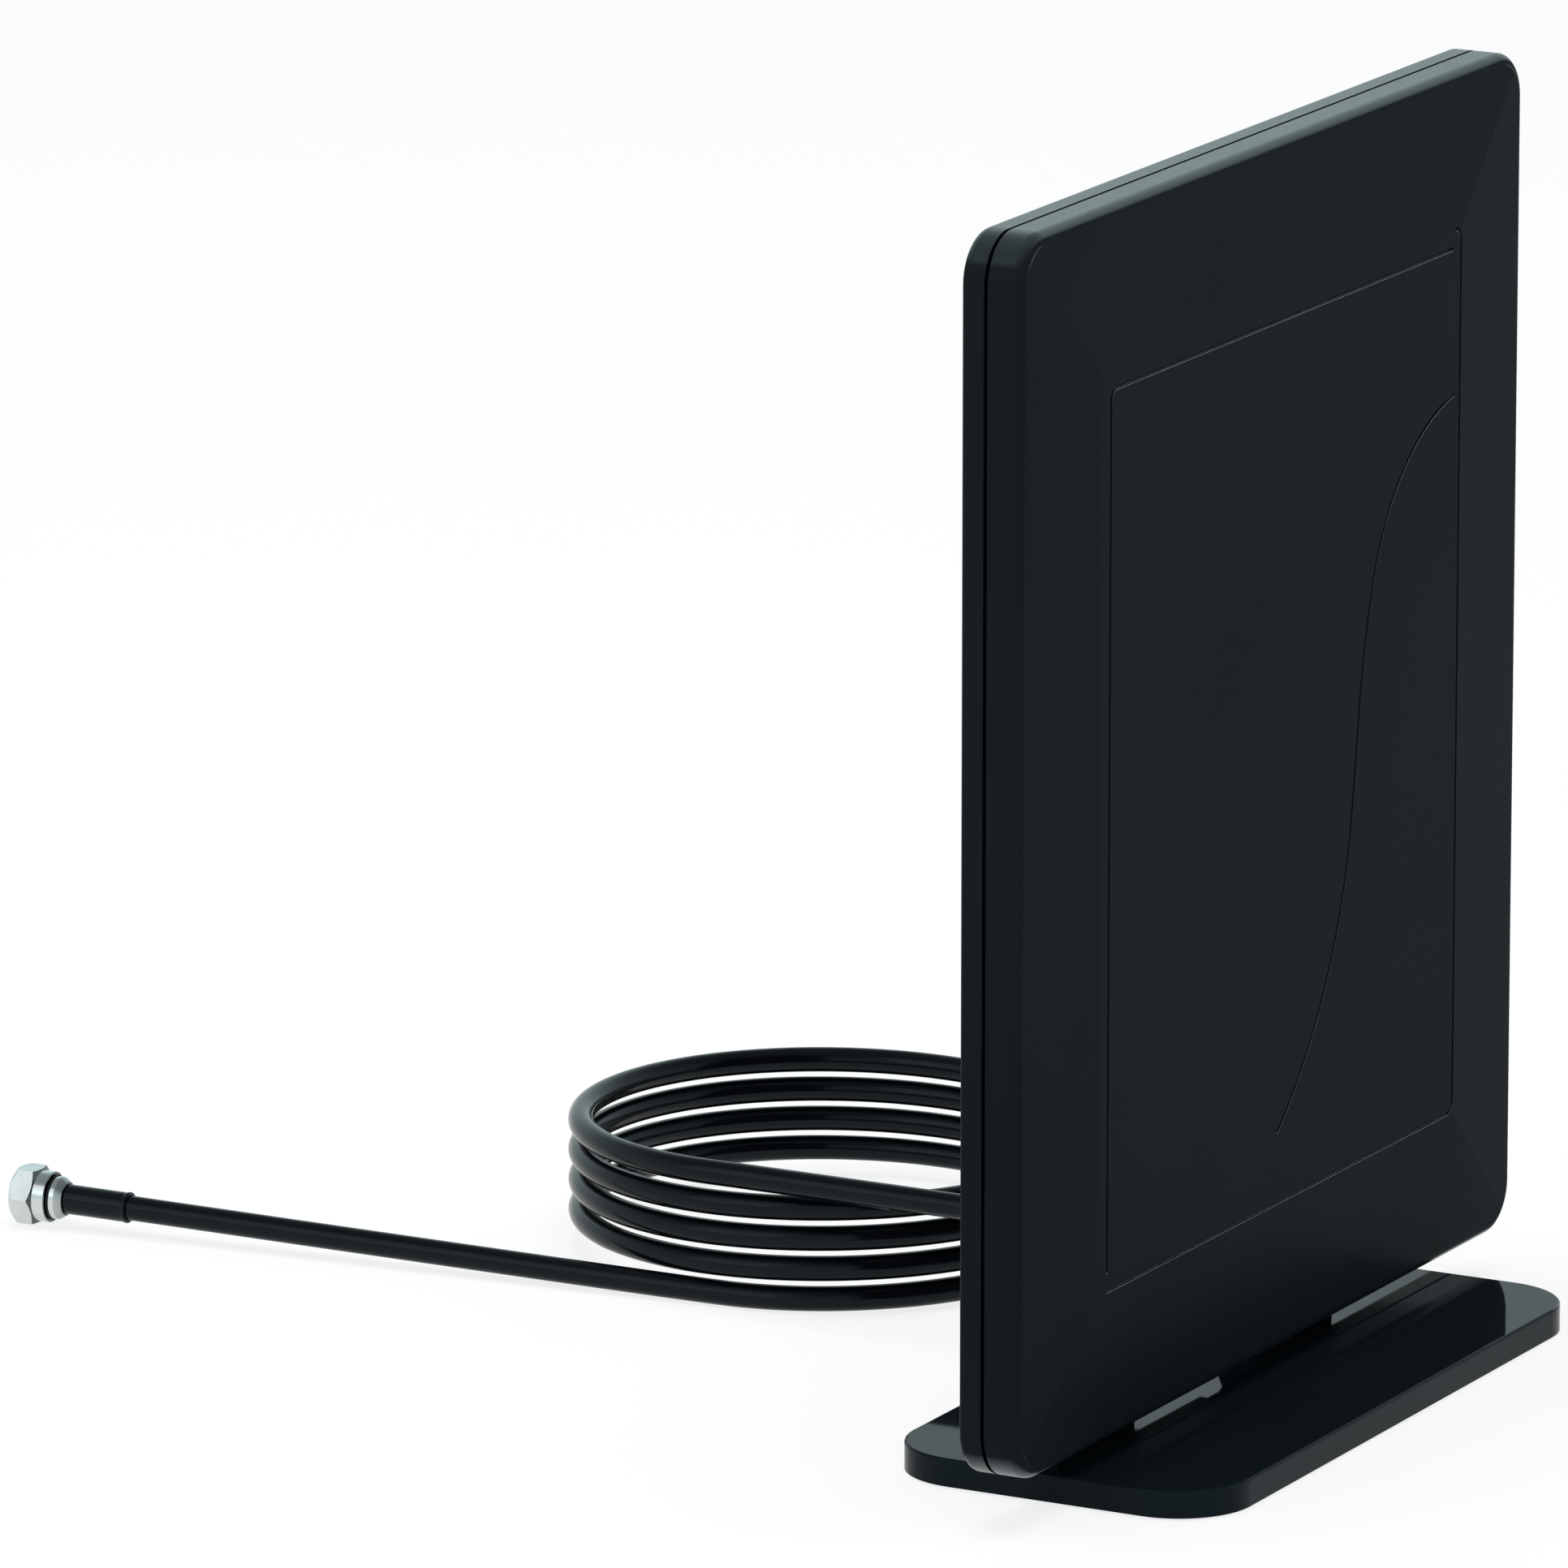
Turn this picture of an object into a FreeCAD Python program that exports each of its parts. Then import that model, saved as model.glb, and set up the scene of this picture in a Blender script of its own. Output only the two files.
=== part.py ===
"""Indoor television antenna: a flat two-shell panel on a weighted stand, with a coiled coaxial lead.

Millimetres. The origin is on the table under the middle of the stand, +Z is up, and the panel faces -Y.
"""
import FreeCAD
import Part
import math
import os

V = FreeCAD.Vector
X_AXIS = V(1, 0, 0)
Y_AXIS = V(0, 1, 0)
Z_AXIS = V(0, 0, 1)

# Stand
base_length = 165.0
base_depth = 72.4
base_corner = 15.4
base_height = 5.55
base_edge_round = 0.6
base_roof = 1.9
base_wall = 3.0
foot_radius = 5.5
foot_height = 0.9
foot_stand_out = 0.4
foot_edge_inset = 11.0
cover_thickness = 1.0
cover_clearance = 0.2
ballast_length = 134.0
ballast_depth = 46.0
ballast_corner = 6.0
post_radius = 3.2
post_clearance = 0.4
post_x = 52.0
post_y = 16.0

# Rear brackets of the stand
bracket_inner_x = 27.0
bracket_width = 32.5
bracket_flare = 6.4
bracket_rise = 38.5
bracket_foot_rear = 21.9
bracket_foot_front = 8.8
bracket_step_height = 9.5
bracket_lean_height = 15.0
bracket_tip = 1.2

# Panel
panel_width = 216.0
panel_height = 240.8
panel_lift = 4.2
panel_corner = 9.7
panel_wall = 2.0
back_depth = 5.5
back_edge_round = 1.8
front_depth = 8.7
frame_width = 30.7
frame_fall = 1.4
front_edge_round = 2.25
seam_chamfer = 0.35
back_notch_width = 16.0
back_notch_slope = 5.6
back_notch_height = 2.0
back_notch_depth = 3.0

# Ornamental lines of the front
line_width = 0.7
line_depth = 0.65
line_corner = 2.4
line_inset = 3.8
line_gap = 3.6
sweep_start_drop = 33.0
sweep_start_inset = 2.4
sweep_heading = 190.0
sweep_upper_radius = 46.0
sweep_upper_turn = 62.0
sweep_middle_radius = 140.0
sweep_middle_turn = 10.0
sweep_straight = 20.0
sweep_lower_radius = 92.0
sweep_lower_turn = 42.0

# Screws
shell_screw_inset_x = 9.5
shell_screw_inset_z = 15.0
shell_screw_radius = 1.2
shell_head_radius = 2.6
shell_head_height = 1.2
shell_boss_radius = 3.5
shell_screw_grip = 4.5
bracket_screw_radius = 1.5
bracket_head_radius = 2.8
bracket_head_height = 1.8
bracket_screw_height = 16.5
bracket_screw_spread = 16.0
bracket_screw_seat = 3.2
bracket_boss_radius = 3.4
board_screw_radius = 0.9
board_head_radius = 1.8
board_head_height = 0.9
base_screw_radius = 1.1
base_head_radius = 2.3
base_head_height = 0.6
base_screw_bite = 1.0
screw_clearance = 0.3

# Electrical parts
board_thickness = 1.2
board_back_gap = 2.5
element_width = 172.0
element_height = 178.0
element_rise = 40.0
element_hole_inset = 6.0
standoff_radius = 3.0
foil_thickness = 0.3
foil_gap = 5.0
foil_span = 80.0
foil_inner_height = 24.0
foil_outer_height = 160.0
foil_border = 9.0
strap_width = 3.0
strap_tail = 6.0
matching_width = 50.0
matching_height = 24.0
matching_drop = 3.0
matching_hole_inset = 3.6
can_width = 20.0
can_height = 15.0
can_depth = 4.4
can_wall = 0.4
can_offset = 5.0
core_width = 8.0
core_height = 6.5
core_depth = 3.4
core_hole_radius = 0.9
core_hole_spread = 4.0

# Cord: exit from the panel, coil and run to the connector
cord_diameter = 5.1
exit_x = 11.0
exit_height = 27.4
coil_radius = 52.0
coil_y = 122.0
coil_turns = 4
coil_edge_round = 1.25
coil_leave_angle = 184.6
run_end = V(0.5, 251.4, 5.72)
gland_flange_radius = 6.2
gland_flange_thickness = 1.2
gland_neck_radius = 4.2
gland_root_radius = 5.2
gland_tip_radius = 3.2
gland_length = 14.0

# Connector, measured along its axis from the cable end of its sleeve
sleeve_length = 14.0
sleeve_radius = 3.05
cone_length = 1.5
cone_small_radius = 3.4
ferrule_length = 1.1
ferrule_radius = 4.4
ferrule_end_wall = 1.0
seal_width = 0.6
seal_radius = 4.6
collar_length = 2.7
collar_radius = 5.2
nut_length = 5.2
nut_across_flats = 11.1
nut_chamfer_angle = 30.0
nut_turn = 14.5
nut_back_wall = 2.0
nut_bore_radius = 4.8
post_tube_radius = 3.5
post_flange_radius = 4.1
post_flange_length = 1.0
swivel_gap = 0.08
swivel_end_gap = 0.1
core_radius = 1.9
pin_radius = 0.5
pin_recess = 0.8

# Heights that follow from the values above
base_bottom = foot_stand_out
base_top = base_bottom + base_height
cover_top = base_bottom + cover_thickness
roof_bottom = base_top - base_roof
panel_bottom = base_top + panel_lift
panel_top = panel_bottom + panel_height
panel_middle = (panel_bottom + panel_top) / 2
front_rim = front_depth - frame_fall
cavity_back = back_depth - panel_wall
board_back = cavity_back - board_back_gap
board_front = board_back - board_thickness
element_bottom = panel_bottom + element_rise
element_top = element_bottom + element_height
element_middle = (element_bottom + element_top) / 2
matching_top = element_bottom - matching_drop
matching_bottom = matching_top - matching_height
matching_middle = (matching_top + matching_bottom) / 2
cord_radius = cord_diameter / 2
coil_x = exit_x + coil_radius
coil_rise = exit_height - cord_radius
bracket_screw_z = base_top + bracket_screw_height
bracket_centre_x = bracket_inner_x + bracket_width / 2

# Stations of the connector that follow from the values above
ferrule_start = sleeve_length
seal_start = ferrule_start + cone_length + ferrule_length
collar_start = seal_start + seal_width
nut_start = collar_start + collar_length
nut_end = nut_start + nut_length
flange_start = collar_start + nut_back_wall + swivel_end_gap
flange_end = flange_start + post_flange_length


def box(x0, x1, y0, y1, z0, z1):
    """Block between two corners."""
    return Part.makeBox(x1 - x0, y1 - y0, z1 - z0, V(x0, y0, z0))


def rod_y(x, z, y0, y1, radius):
    """Round bar along Y."""
    return Part.makeCylinder(radius, y1 - y0, V(x, y0, z), Y_AXIS)


def rod_z(x, y, z0, z1, radius):
    """Round bar along Z."""
    return Part.makeCylinder(radius, z1 - z0, V(x, y, z0), Z_AXIS)


def polygon(points):
    """Flat face bounded by straight edges."""
    return Part.Face(Part.makePolygon(list(points) + [points[0]]))


def rounded_outline(width, height, radius):
    """Closed rounded rectangle in the XY plane, centred on the origin."""
    half_w = width / 2
    half_h = height / 2
    edges = []
    for quarter in range(4):
        sx = 1 if quarter in (0, 3) else -1
        sy = 1 if quarter in (0, 1) else -1
        centre = V(sx * (half_w - radius), sy * (half_h - radius), 0)
        arc = Part.Circle(centre, Z_AXIS, radius)
        start = quarter * math.pi / 2
        edges.append(Part.Arc(arc, start, start + math.pi / 2).toShape())
    ends = [(edge.Vertexes[0].Point, edge.Vertexes[-1].Point) for edge in edges]
    sides = [Part.makeLine(ends[i][1], ends[(i + 1) % 4][0]) for i in range(4)]
    ring = [piece for pair in zip(edges, sides) for piece in pair]
    return Part.Wire(ring)


def slab_z(width, depth, radius, z0, z1):
    """Rounded plate lying flat between two heights."""
    face = Part.Face(rounded_outline(width, depth, radius))
    face.translate(V(0, 0, z0))
    return face.extrude(V(0, 0, z1 - z0))


def slab_y(width, height, radius, y0, y1, middle_z):
    """Rounded plate standing up between two depths."""
    face = Part.Face(rounded_outline(width, height, radius))
    face.rotate(V(0, 0, 0), X_AXIS, 90)
    face.translate(V(0, y1, middle_z))
    return face.extrude(V(0, y0 - y1, 0))


def edges_in_plane(shape, axis, value, tolerance=1e-4):
    """Edges that lie in the plane where one coordinate has the given value."""
    found = []
    for edge in shape.Edges:
        low = (edge.BoundBox.XMin, edge.BoundBox.YMin, edge.BoundBox.ZMin)[axis]
        high = (edge.BoundBox.XMax, edge.BoundBox.YMax, edge.BoundBox.ZMax)[axis]
        if abs(low - value) < tolerance and abs(high - value) < tolerance:
            found.append(edge)
    return found


def turned(profile):
    """Solid of revolution about Y from (radius, station) pairs."""
    face = polygon([V(radius, station, 0) for radius, station in profile])
    return face.revolve(V(0, 0, 0), Y_AXIS, 360)


def front_rise(shift):
    """Shallow pyramid on the panel's front: a flat middle with four mitred faces that fall to the rim."""
    rims = []
    for inset, depth in ((frame_width, front_depth), (front_edge_round, front_rim)):
        half_w = panel_width / 2 - inset
        half_h = panel_height / 2 - inset
        y = shift - depth
        corners = [V(half_w, y, panel_middle + half_h), V(-half_w, y, panel_middle + half_h),
                   V(-half_w, y, panel_middle - half_h), V(half_w, y, panel_middle - half_h)]
        rims.append(Part.makePolygon(corners + [corners[0]]))
    pyramid = Part.makeLoft(rims, True, True)
    outline = slab_y(panel_width - 2 * front_edge_round, panel_height - 2 * front_edge_round,
                     panel_corner - front_edge_round, shift - front_depth, shift - front_rim, panel_middle)
    return pyramid.common(outline)


def shell_screw_places():
    """Six places around the panel's rim."""
    x = panel_width / 2 - shell_screw_inset_x
    low = panel_bottom + shell_screw_inset_z
    high = panel_top - shell_screw_inset_z
    return [(side * x, z) for side in (-1, 1) for z in (low, panel_middle, high)]


def bracket_screw_places():
    """Two places on each rear bracket."""
    half = bracket_screw_spread / 2
    spots = [bracket_centre_x - half, bracket_centre_x + half]
    return [(side * x, bracket_screw_z) for side in (-1, 1) for x in spots]


def element_screw_places():
    """Four corners of the element board."""
    x = element_width / 2 - element_hole_inset
    z = element_height / 2 - element_hole_inset
    return [(side * x, element_middle + level * z) for side in (-1, 1) for level in (-1, 1)]


def matching_screw_places():
    """Two upper corners of the matching board."""
    x = matching_width / 2 - matching_hole_inset
    return [(side * x, matching_top - matching_hole_inset) for side in (-1, 1)]


def post_places():
    """Four screw posts inside the base."""
    return [(side * post_x, end * post_y) for side in (-1, 1) for end in (-1, 1)]


def foot_places():
    """Name and place of each foot."""
    x = base_length / 2 - foot_edge_inset - foot_radius
    y = base_depth / 2 - foot_edge_inset
    names = {(-1, -1): "front_left", (1, -1): "front_right", (-1, 1): "rear_left", (1, 1): "rear_right"}
    return [(name, side * x, end * y) for (side, end), name in names.items()]


def groove(start, heading, moves):
    """Flat-bottomed line cut along straight stretches and tangent arcs on the front face.

    Each move is (length, 0) for a straight stretch, or (radius, turn in degrees) for an arc, left positive.
    """
    half = line_width / 2
    sides = ([], [])
    point = start
    angle = math.radians(heading)
    for size, turn in moves:
        along = V(math.cos(angle), 0, math.sin(angle))
        left = V(-math.sin(angle), 0, math.cos(angle))
        if turn == 0:
            ahead = point + along * size
            for edges, offset in zip(sides, (half, -half)):
                edges.append(Part.makeLine(point + left * offset, ahead + left * offset))
            point = ahead
            continue
        sign = math.copysign(1, turn)
        centre = point + left * (sign * size)
        for edges, offset in zip(sides, (half, -half)):
            spots = []
            for share in (0, 0.5, 1):
                reached = angle + math.radians(turn) * share
                out = V(math.sin(reached), 0, -math.cos(reached))
                spots.append(centre + out * (sign * size - offset))
            edges.append(Part.Arc(*spots).toShape())
        angle += math.radians(turn)
        point = centre + V(math.sin(angle), 0, -math.cos(angle)) * (sign * size)
    first, second = sides
    caps = [Part.makeLine(first[0].Vertexes[0].Point, second[0].Vertexes[0].Point),
            Part.makeLine(first[-1].Vertexes[-1].Point, second[-1].Vertexes[-1].Point)]
    outline = Part.Wire(Part.__sortEdges__(first + second + caps))
    return Part.Face(outline).extrude(V(0, 2 * line_depth, 0))


def front_lines():
    """The two angled border lines and the long sweep of the front."""
    y = -front_depth - line_depth
    right = panel_width / 2 - frame_width
    top = panel_top - frame_width
    bottom = panel_bottom + frame_width
    left = -right + line_inset
    rise = top - line_inset - bottom - line_gap - line_corner
    upper_run = right - line_inset - left - line_corner
    upper = groove(V(left, y, bottom + line_gap), 90,
                   [(rise, 0), (line_corner, -90), (upper_run, 0)])
    fall = top - bottom - 2 * line_corner
    lower_run = right - left - line_corner
    lower = groove(V(right - line_corner, y, top), 0,
                   [(line_corner, -90), (fall, 0), (line_corner, -90), (lower_run, 0)])
    sweep = groove(V(right - sweep_start_inset, y, top - sweep_start_drop), sweep_heading,
                   [(sweep_upper_radius, sweep_upper_turn), (sweep_middle_radius, sweep_middle_turn),
                    (sweep_straight, 0), (sweep_lower_radius, -sweep_lower_turn)])
    return [upper, lower, sweep]


def make_front_shell():
    """Front half of the panel with its framed face, border lines and screw bosses."""
    outer = slab_y(panel_width, panel_height, panel_corner, -front_rim, 0, panel_middle)
    outer = outer.makeFillet(front_edge_round, edges_in_plane(outer, 1, -front_rim))
    outer = outer.makeChamfer(seam_chamfer, edges_in_plane(outer, 1, 0))
    outer = outer.fuse(front_rise(0)).removeSplitter()
    cavity = slab_y(panel_width - 2 * panel_wall, panel_height - 2 * panel_wall, panel_corner - panel_wall,
                    panel_wall - front_rim, 0, panel_middle)
    shell = outer.cut(cavity.fuse(front_rise(panel_wall)))
    bosses = [rod_y(x, z, -front_rim, 0, shell_boss_radius) for x, z in shell_screw_places()]
    shell = shell.fuse(bosses)
    for x, z in shell_screw_places():
        shell = shell.cut(rod_y(x, z, -shell_screw_grip, 0, shell_screw_radius))
    for line in front_lines():
        shell = shell.cut(line)
    return shell


def back_notch():
    """Shallow recess with sloping ends in the back's lower edge."""
    half = back_notch_width / 2
    y = back_depth - back_notch_depth
    top = panel_bottom + back_notch_height
    face = polygon([V(-half, y, panel_bottom), V(half, y, panel_bottom),
                    V(half - back_notch_slope, y, top), V(-half + back_notch_slope, y, top)])
    return face.extrude(V(0, 2 * back_notch_depth, 0))


def make_back_shell():
    """Back half of the panel with board standoffs, screw posts and the cable hole."""
    outer = slab_y(panel_width, panel_height, panel_corner, 0, back_depth, panel_middle)
    outer = outer.makeFillet(back_edge_round, edges_in_plane(outer, 1, back_depth))
    outer = outer.makeChamfer(seam_chamfer, edges_in_plane(outer, 1, 0))
    cavity = slab_y(panel_width - 2 * panel_wall, panel_height - 2 * panel_wall, panel_corner - panel_wall,
                    0, cavity_back, panel_middle)
    shell = outer.cut(cavity)
    adds = [rod_y(x, z, 0, cavity_back, shell_boss_radius) for x, z in shell_screw_places()]
    adds += [rod_y(x, z, board_back, cavity_back, bracket_boss_radius) for x, z in bracket_screw_places()]
    boards = element_screw_places() + matching_screw_places()
    adds += [rod_y(x, z, board_back, cavity_back, standoff_radius) for x, z in boards]
    shell = shell.fuse(adds)
    for x, z in shell_screw_places():
        shell = shell.cut(rod_y(x, z, 0, back_depth, shell_screw_radius + screw_clearance))
        seat = back_depth - shell_head_height
        shell = shell.cut(rod_y(x, z, seat, back_depth, shell_head_radius + screw_clearance))
    for x, z in bracket_screw_places():
        shell = shell.cut(rod_y(x, z, board_back, back_depth, bracket_screw_radius))
    for x, z in boards:
        shell = shell.cut(rod_y(x, z, board_back, cavity_back, board_screw_radius))
    shell = shell.cut(rod_y(exit_x, exit_height, 0, back_depth, gland_neck_radius))
    return shell.cut(back_notch())


def make_shell_screws():
    """Six screws that hold the two halves of the panel."""
    seat = back_depth - shell_head_height
    screws = []
    for x, z in shell_screw_places():
        head = rod_y(x, z, seat, back_depth, shell_head_radius)
        screws.append(head.fuse(rod_y(x, z, -shell_screw_grip, seat, shell_screw_radius)).removeSplitter())
    return Part.Compound(screws)


def make_element_board():
    """Board that carries the two foil elements."""
    board = box(-element_width / 2, element_width / 2, board_front, board_back,
                element_bottom, element_top)
    for x, z in element_screw_places():
        board = board.cut(rod_y(x, z, board_front, board_back, board_screw_radius + screw_clearance))
    return board


def make_matching_board():
    """Small board that joins the elements to the cable."""
    board = box(-matching_width / 2, matching_width / 2, board_front, board_back,
                matching_bottom, matching_top)
    for x, z in matching_screw_places():
        board = board.cut(rod_y(x, z, board_front, board_back, board_screw_radius + screw_clearance))
    return board


def make_board_screws():
    """Six small screws that hold both boards to the standoffs."""
    screws = []
    for x, z in element_screw_places() + matching_screw_places():
        head = rod_y(x, z, board_front - board_head_height, board_front, board_head_radius)
        screws.append(head.fuse(rod_y(x, z, board_front, cavity_back, board_screw_radius)).removeSplitter())
    return Part.Compound(screws)


def make_foil_element(side):
    """One flared foil loop on the element board, with the strap down to the matching board."""
    y = board_front - foil_thickness
    inner = foil_gap / 2
    outer = foil_gap / 2 + foil_span
    low = foil_inner_height / 2
    high = foil_outer_height / 2
    slope = (high - low) / foil_span

    def flared(x0, x1, shrink):
        rise0 = low + slope * (x0 - inner) - shrink
        rise1 = low + slope * (x1 - inner) - shrink
        corners = [(x0, -rise0), (x1, -rise1), (x1, rise1), (x0, rise0)]
        return polygon([V(side * x, y, element_middle + z) for x, z in corners])

    sheet = flared(inner, outer, 0).extrude(V(0, foil_thickness, 0))
    window_start = inner + foil_border
    border = foil_border * math.hypot(1, slope)
    window = flared(window_start, outer - foil_border, border).extrude(V(0, foil_thickness, 0))
    near = side * inner
    far = side * (inner + strap_width)
    strap = box(min(near, far), max(near, far), y, board_front,
                matching_top - strap_tail, element_middle)
    return sheet.cut(window).fuse(strap).removeSplitter()


def make_shield_can():
    """Folded metal lid over the transformer."""
    x = can_offset
    z = matching_middle - matching_hole_inset
    outer = box(x, x + can_width, board_front - can_depth, board_front,
                z - can_height / 2, z + can_height / 2)
    inner = box(x + can_wall, x + can_width - can_wall, board_front - can_depth + can_wall, board_front,
                z - can_height / 2 + can_wall, z + can_height / 2 - can_wall)
    return outer.cut(inner)


def make_balun_core():
    """Two-hole ferrite core of the matching transformer."""
    x = can_offset + can_width / 2
    z = matching_middle - matching_hole_inset
    core = box(x - core_width / 2, x + core_width / 2, board_front - core_depth, board_front,
               z - core_height / 2, z + core_height / 2)
    for side in (-1, 1):
        hole = rod_z(x + side * core_hole_spread / 2, board_front - core_depth / 2,
                     z - core_height / 2, z + core_height / 2, core_hole_radius)
        core = core.cut(hole)
    return core


def bracket(side):
    """Rear buttress of the stand: a leaning side profile cut to a front outline with flared feet."""
    near = bracket_inner_x
    far = bracket_inner_x + bracket_width
    top = base_top + bracket_rise
    foot = base_top - base_roof / 2
    profile = polygon([V(0, bracket_foot_rear, foot), V(0, bracket_foot_rear, base_top),
                       V(0, back_depth + bracket_tip, top), V(0, back_depth, top),
                       V(0, back_depth, base_top + bracket_lean_height),
                       V(0, bracket_foot_front, base_top + bracket_step_height),
                       V(0, bracket_foot_front, foot)])
    reach = bracket_width + 2 * bracket_flare
    leaning = profile.extrude(V(reach, 0, 0))
    leaning.translate(V(near - bracket_flare, 0, 0))
    bend = bracket_flare * math.sqrt(0.5)
    inner_arc = Part.Arc(V(near - bracket_flare, 0, base_top),
                         V(near - bracket_flare + bend, 0, base_top + bracket_flare - bend),
                         V(near, 0, base_top + bracket_flare)).toShape()
    outer_arc = Part.Arc(V(far, 0, base_top + bracket_flare),
                         V(far + bracket_flare - bend, 0, base_top + bracket_flare - bend),
                         V(far + bracket_flare, 0, base_top)).toShape()
    rest = [V(far + bracket_flare, 0, base_top), V(far + bracket_flare, 0, foot),
            V(near - bracket_flare, 0, foot), V(near - bracket_flare, 0, base_top)]
    edges = [inner_arc, Part.makeLine(V(near, 0, base_top + bracket_flare), V(near, 0, top)),
             Part.makeLine(V(near, 0, top), V(far, 0, top)),
             Part.makeLine(V(far, 0, top), V(far, 0, base_top + bracket_flare)), outer_arc]
    edges += [Part.makeLine(rest[i], rest[i + 1]) for i in range(3)]
    outline = Part.Face(Part.Wire(edges)).extrude(V(0, base_depth, 0))
    solid = leaning.common(outline)
    return solid if side > 0 else solid.mirror(V(0, 0, 0), X_AXIS)


def make_stand_base():
    """Moulded stand: flat base, hollow underneath, with two rear brackets."""
    plate = slab_z(base_length, base_depth, base_corner, base_bottom, base_top)
    plate = plate.makeFillet(base_edge_round, edges_in_plane(plate, 2, base_top))
    stand = plate.fuse([bracket(-1), bracket(1)]).removeSplitter()
    hollow = slab_z(base_length - 2 * base_wall, base_depth - 2 * base_wall, base_corner - base_wall,
                    base_bottom, roof_bottom)
    stand = stand.cut(hollow)
    stand = stand.fuse([rod_z(x, y, cover_top, roof_bottom, post_radius) for x, y in post_places()])
    for x, y in post_places():
        stand = stand.cut(rod_z(x, y, cover_top, roof_bottom + base_screw_bite, base_screw_radius))
    seat = back_depth + bracket_screw_seat
    for x, z in bracket_screw_places():
        stand = stand.cut(rod_y(x, z, back_depth, base_depth, bracket_screw_radius + screw_clearance))
        stand = stand.cut(rod_y(x, z, seat, base_depth, bracket_head_radius + screw_clearance))
    return stand


def make_bracket_screws():
    """Four screws through the brackets into the back of the panel."""
    seat = back_depth + bracket_screw_seat
    screws = []
    for x, z in bracket_screw_places():
        head = rod_y(x, z, seat, seat + bracket_head_height, bracket_head_radius)
        screws.append(head.fuse(rod_y(x, z, board_back, seat, bracket_screw_radius)).removeSplitter())
    return Part.Compound(screws)


def make_ballast():
    """Steel plate that weights the stand, with clearance holes for the posts."""
    plate = slab_z(ballast_length, ballast_depth, ballast_corner, cover_top, roof_bottom)
    for x, y in post_places():
        plate = plate.cut(rod_z(x, y, cover_top, roof_bottom, post_radius + post_clearance))
    return plate


def make_base_cover():
    """Plate that closes the base from below, with screw seats and foot pockets."""
    inset = 2 * (base_wall + cover_clearance)
    cover = slab_z(base_length - inset, base_depth - inset, base_corner - inset / 2, base_bottom, cover_top)
    for x, y in post_places():
        cover = cover.cut(rod_z(x, y, base_bottom, cover_top, base_screw_radius + screw_clearance))
        seat = base_bottom + base_head_height
        cover = cover.cut(rod_z(x, y, base_bottom, seat, base_head_radius + screw_clearance))
    for _, x, y in foot_places():
        cover = cover.cut(rod_z(x, y, base_bottom, foot_height, foot_radius))
    return cover


def make_base_screws():
    """Four screws that hold the cover to the base."""
    seat = base_bottom + base_head_height
    screws = []
    for x, y in post_places():
        head = rod_z(x, y, base_bottom, seat, base_head_radius)
        tip = roof_bottom + base_screw_bite
        screws.append(head.fuse(rod_z(x, y, seat, tip, base_screw_radius)).removeSplitter())
    return Part.Compound(screws)


def make_cable_gland():
    """Tapered rubber strain relief, locked in the back shell by its inner flange."""
    inside = cavity_back - gland_flange_thickness
    tip = back_depth + gland_length
    gland = turned([(cord_radius, inside), (gland_flange_radius, inside), (gland_flange_radius, cavity_back),
                    (gland_neck_radius, cavity_back), (gland_neck_radius, back_depth),
                    (gland_root_radius, back_depth), (gland_tip_radius, tip), (cord_radius, tip)])
    gland.translate(V(exit_x, 0, exit_height))
    return gland


def straight_tube(start, end):
    """Cord along one straight run, with its volume compared with section times length."""
    along = end - start
    tube = Part.makeCylinder(cord_radius, along.Length, start, along)
    expected = math.pi * cord_radius ** 2 * along.Length
    print(f"cord run {along.Length:.1f} mm, straight, volume ratio {tube.Volume / expected:.4f}")
    return tube


def coil_leave_point():
    """Where the run to the connector leaves the coil's lowest turn."""
    angle = math.radians(coil_leave_angle)
    return V(coil_x + coil_radius * math.cos(angle), coil_y + coil_radius * math.sin(angle), cord_radius)


def make_cord_coil():
    """Outer shape of the coiled turns: a ring with rounded edges."""
    top = exit_height + cord_radius
    ring = rod_z(coil_x, coil_y, 0, top, coil_radius + cord_radius)
    ring = ring.cut(rod_z(coil_x, coil_y, 0, top, coil_radius - cord_radius))
    rims = edges_in_plane(ring, 2, 0) + edges_in_plane(ring, 2, top)
    return ring.makeFillet(coil_edge_round, rims)


def run_direction():
    """Unit vector along the run, which is also the connector's axis."""
    along = run_end - coil_leave_point()
    return along.normalize()


def on_connector(shape):
    """Move a shape made along Y from the origin onto the connector's axis."""
    placed = shape.copy()
    placed.Placement = FreeCAD.Placement(run_end, FreeCAD.Rotation(Y_AXIS, run_direction()))
    return placed


def make_cable_sleeve():
    """Shrunk sleeve over the cable behind the connector."""
    return turned([(cord_radius, 0), (sleeve_radius, 0), (sleeve_radius, sleeve_length),
                   (cord_radius, sleeve_length)])


def make_crimp_ferrule():
    """Turned body with a coned back, closed on the cable end."""
    cone_end = ferrule_start + cone_length
    floor = ferrule_start + ferrule_end_wall
    return turned([(core_radius, ferrule_start), (cone_small_radius, ferrule_start),
                   (ferrule_radius, cone_end), (ferrule_radius, seal_start),
                   (post_tube_radius, seal_start), (post_tube_radius, floor), (core_radius, floor)])


def make_seal_ring():
    """Rubber ring between the ferrule and the nut."""
    end = collar_start - swivel_end_gap
    return turned([(post_tube_radius, seal_start), (seal_radius, seal_start), (seal_radius, end),
                   (post_tube_radius, end)])


def make_connector_post():
    """Flanged tube that the nut turns on."""
    floor = ferrule_start + ferrule_end_wall
    return turned([(core_radius, floor), (post_tube_radius, floor), (post_tube_radius, flange_start),
                   (post_flange_radius, flange_start), (post_flange_radius, flange_end),
                   (core_radius, flange_end)])


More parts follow.
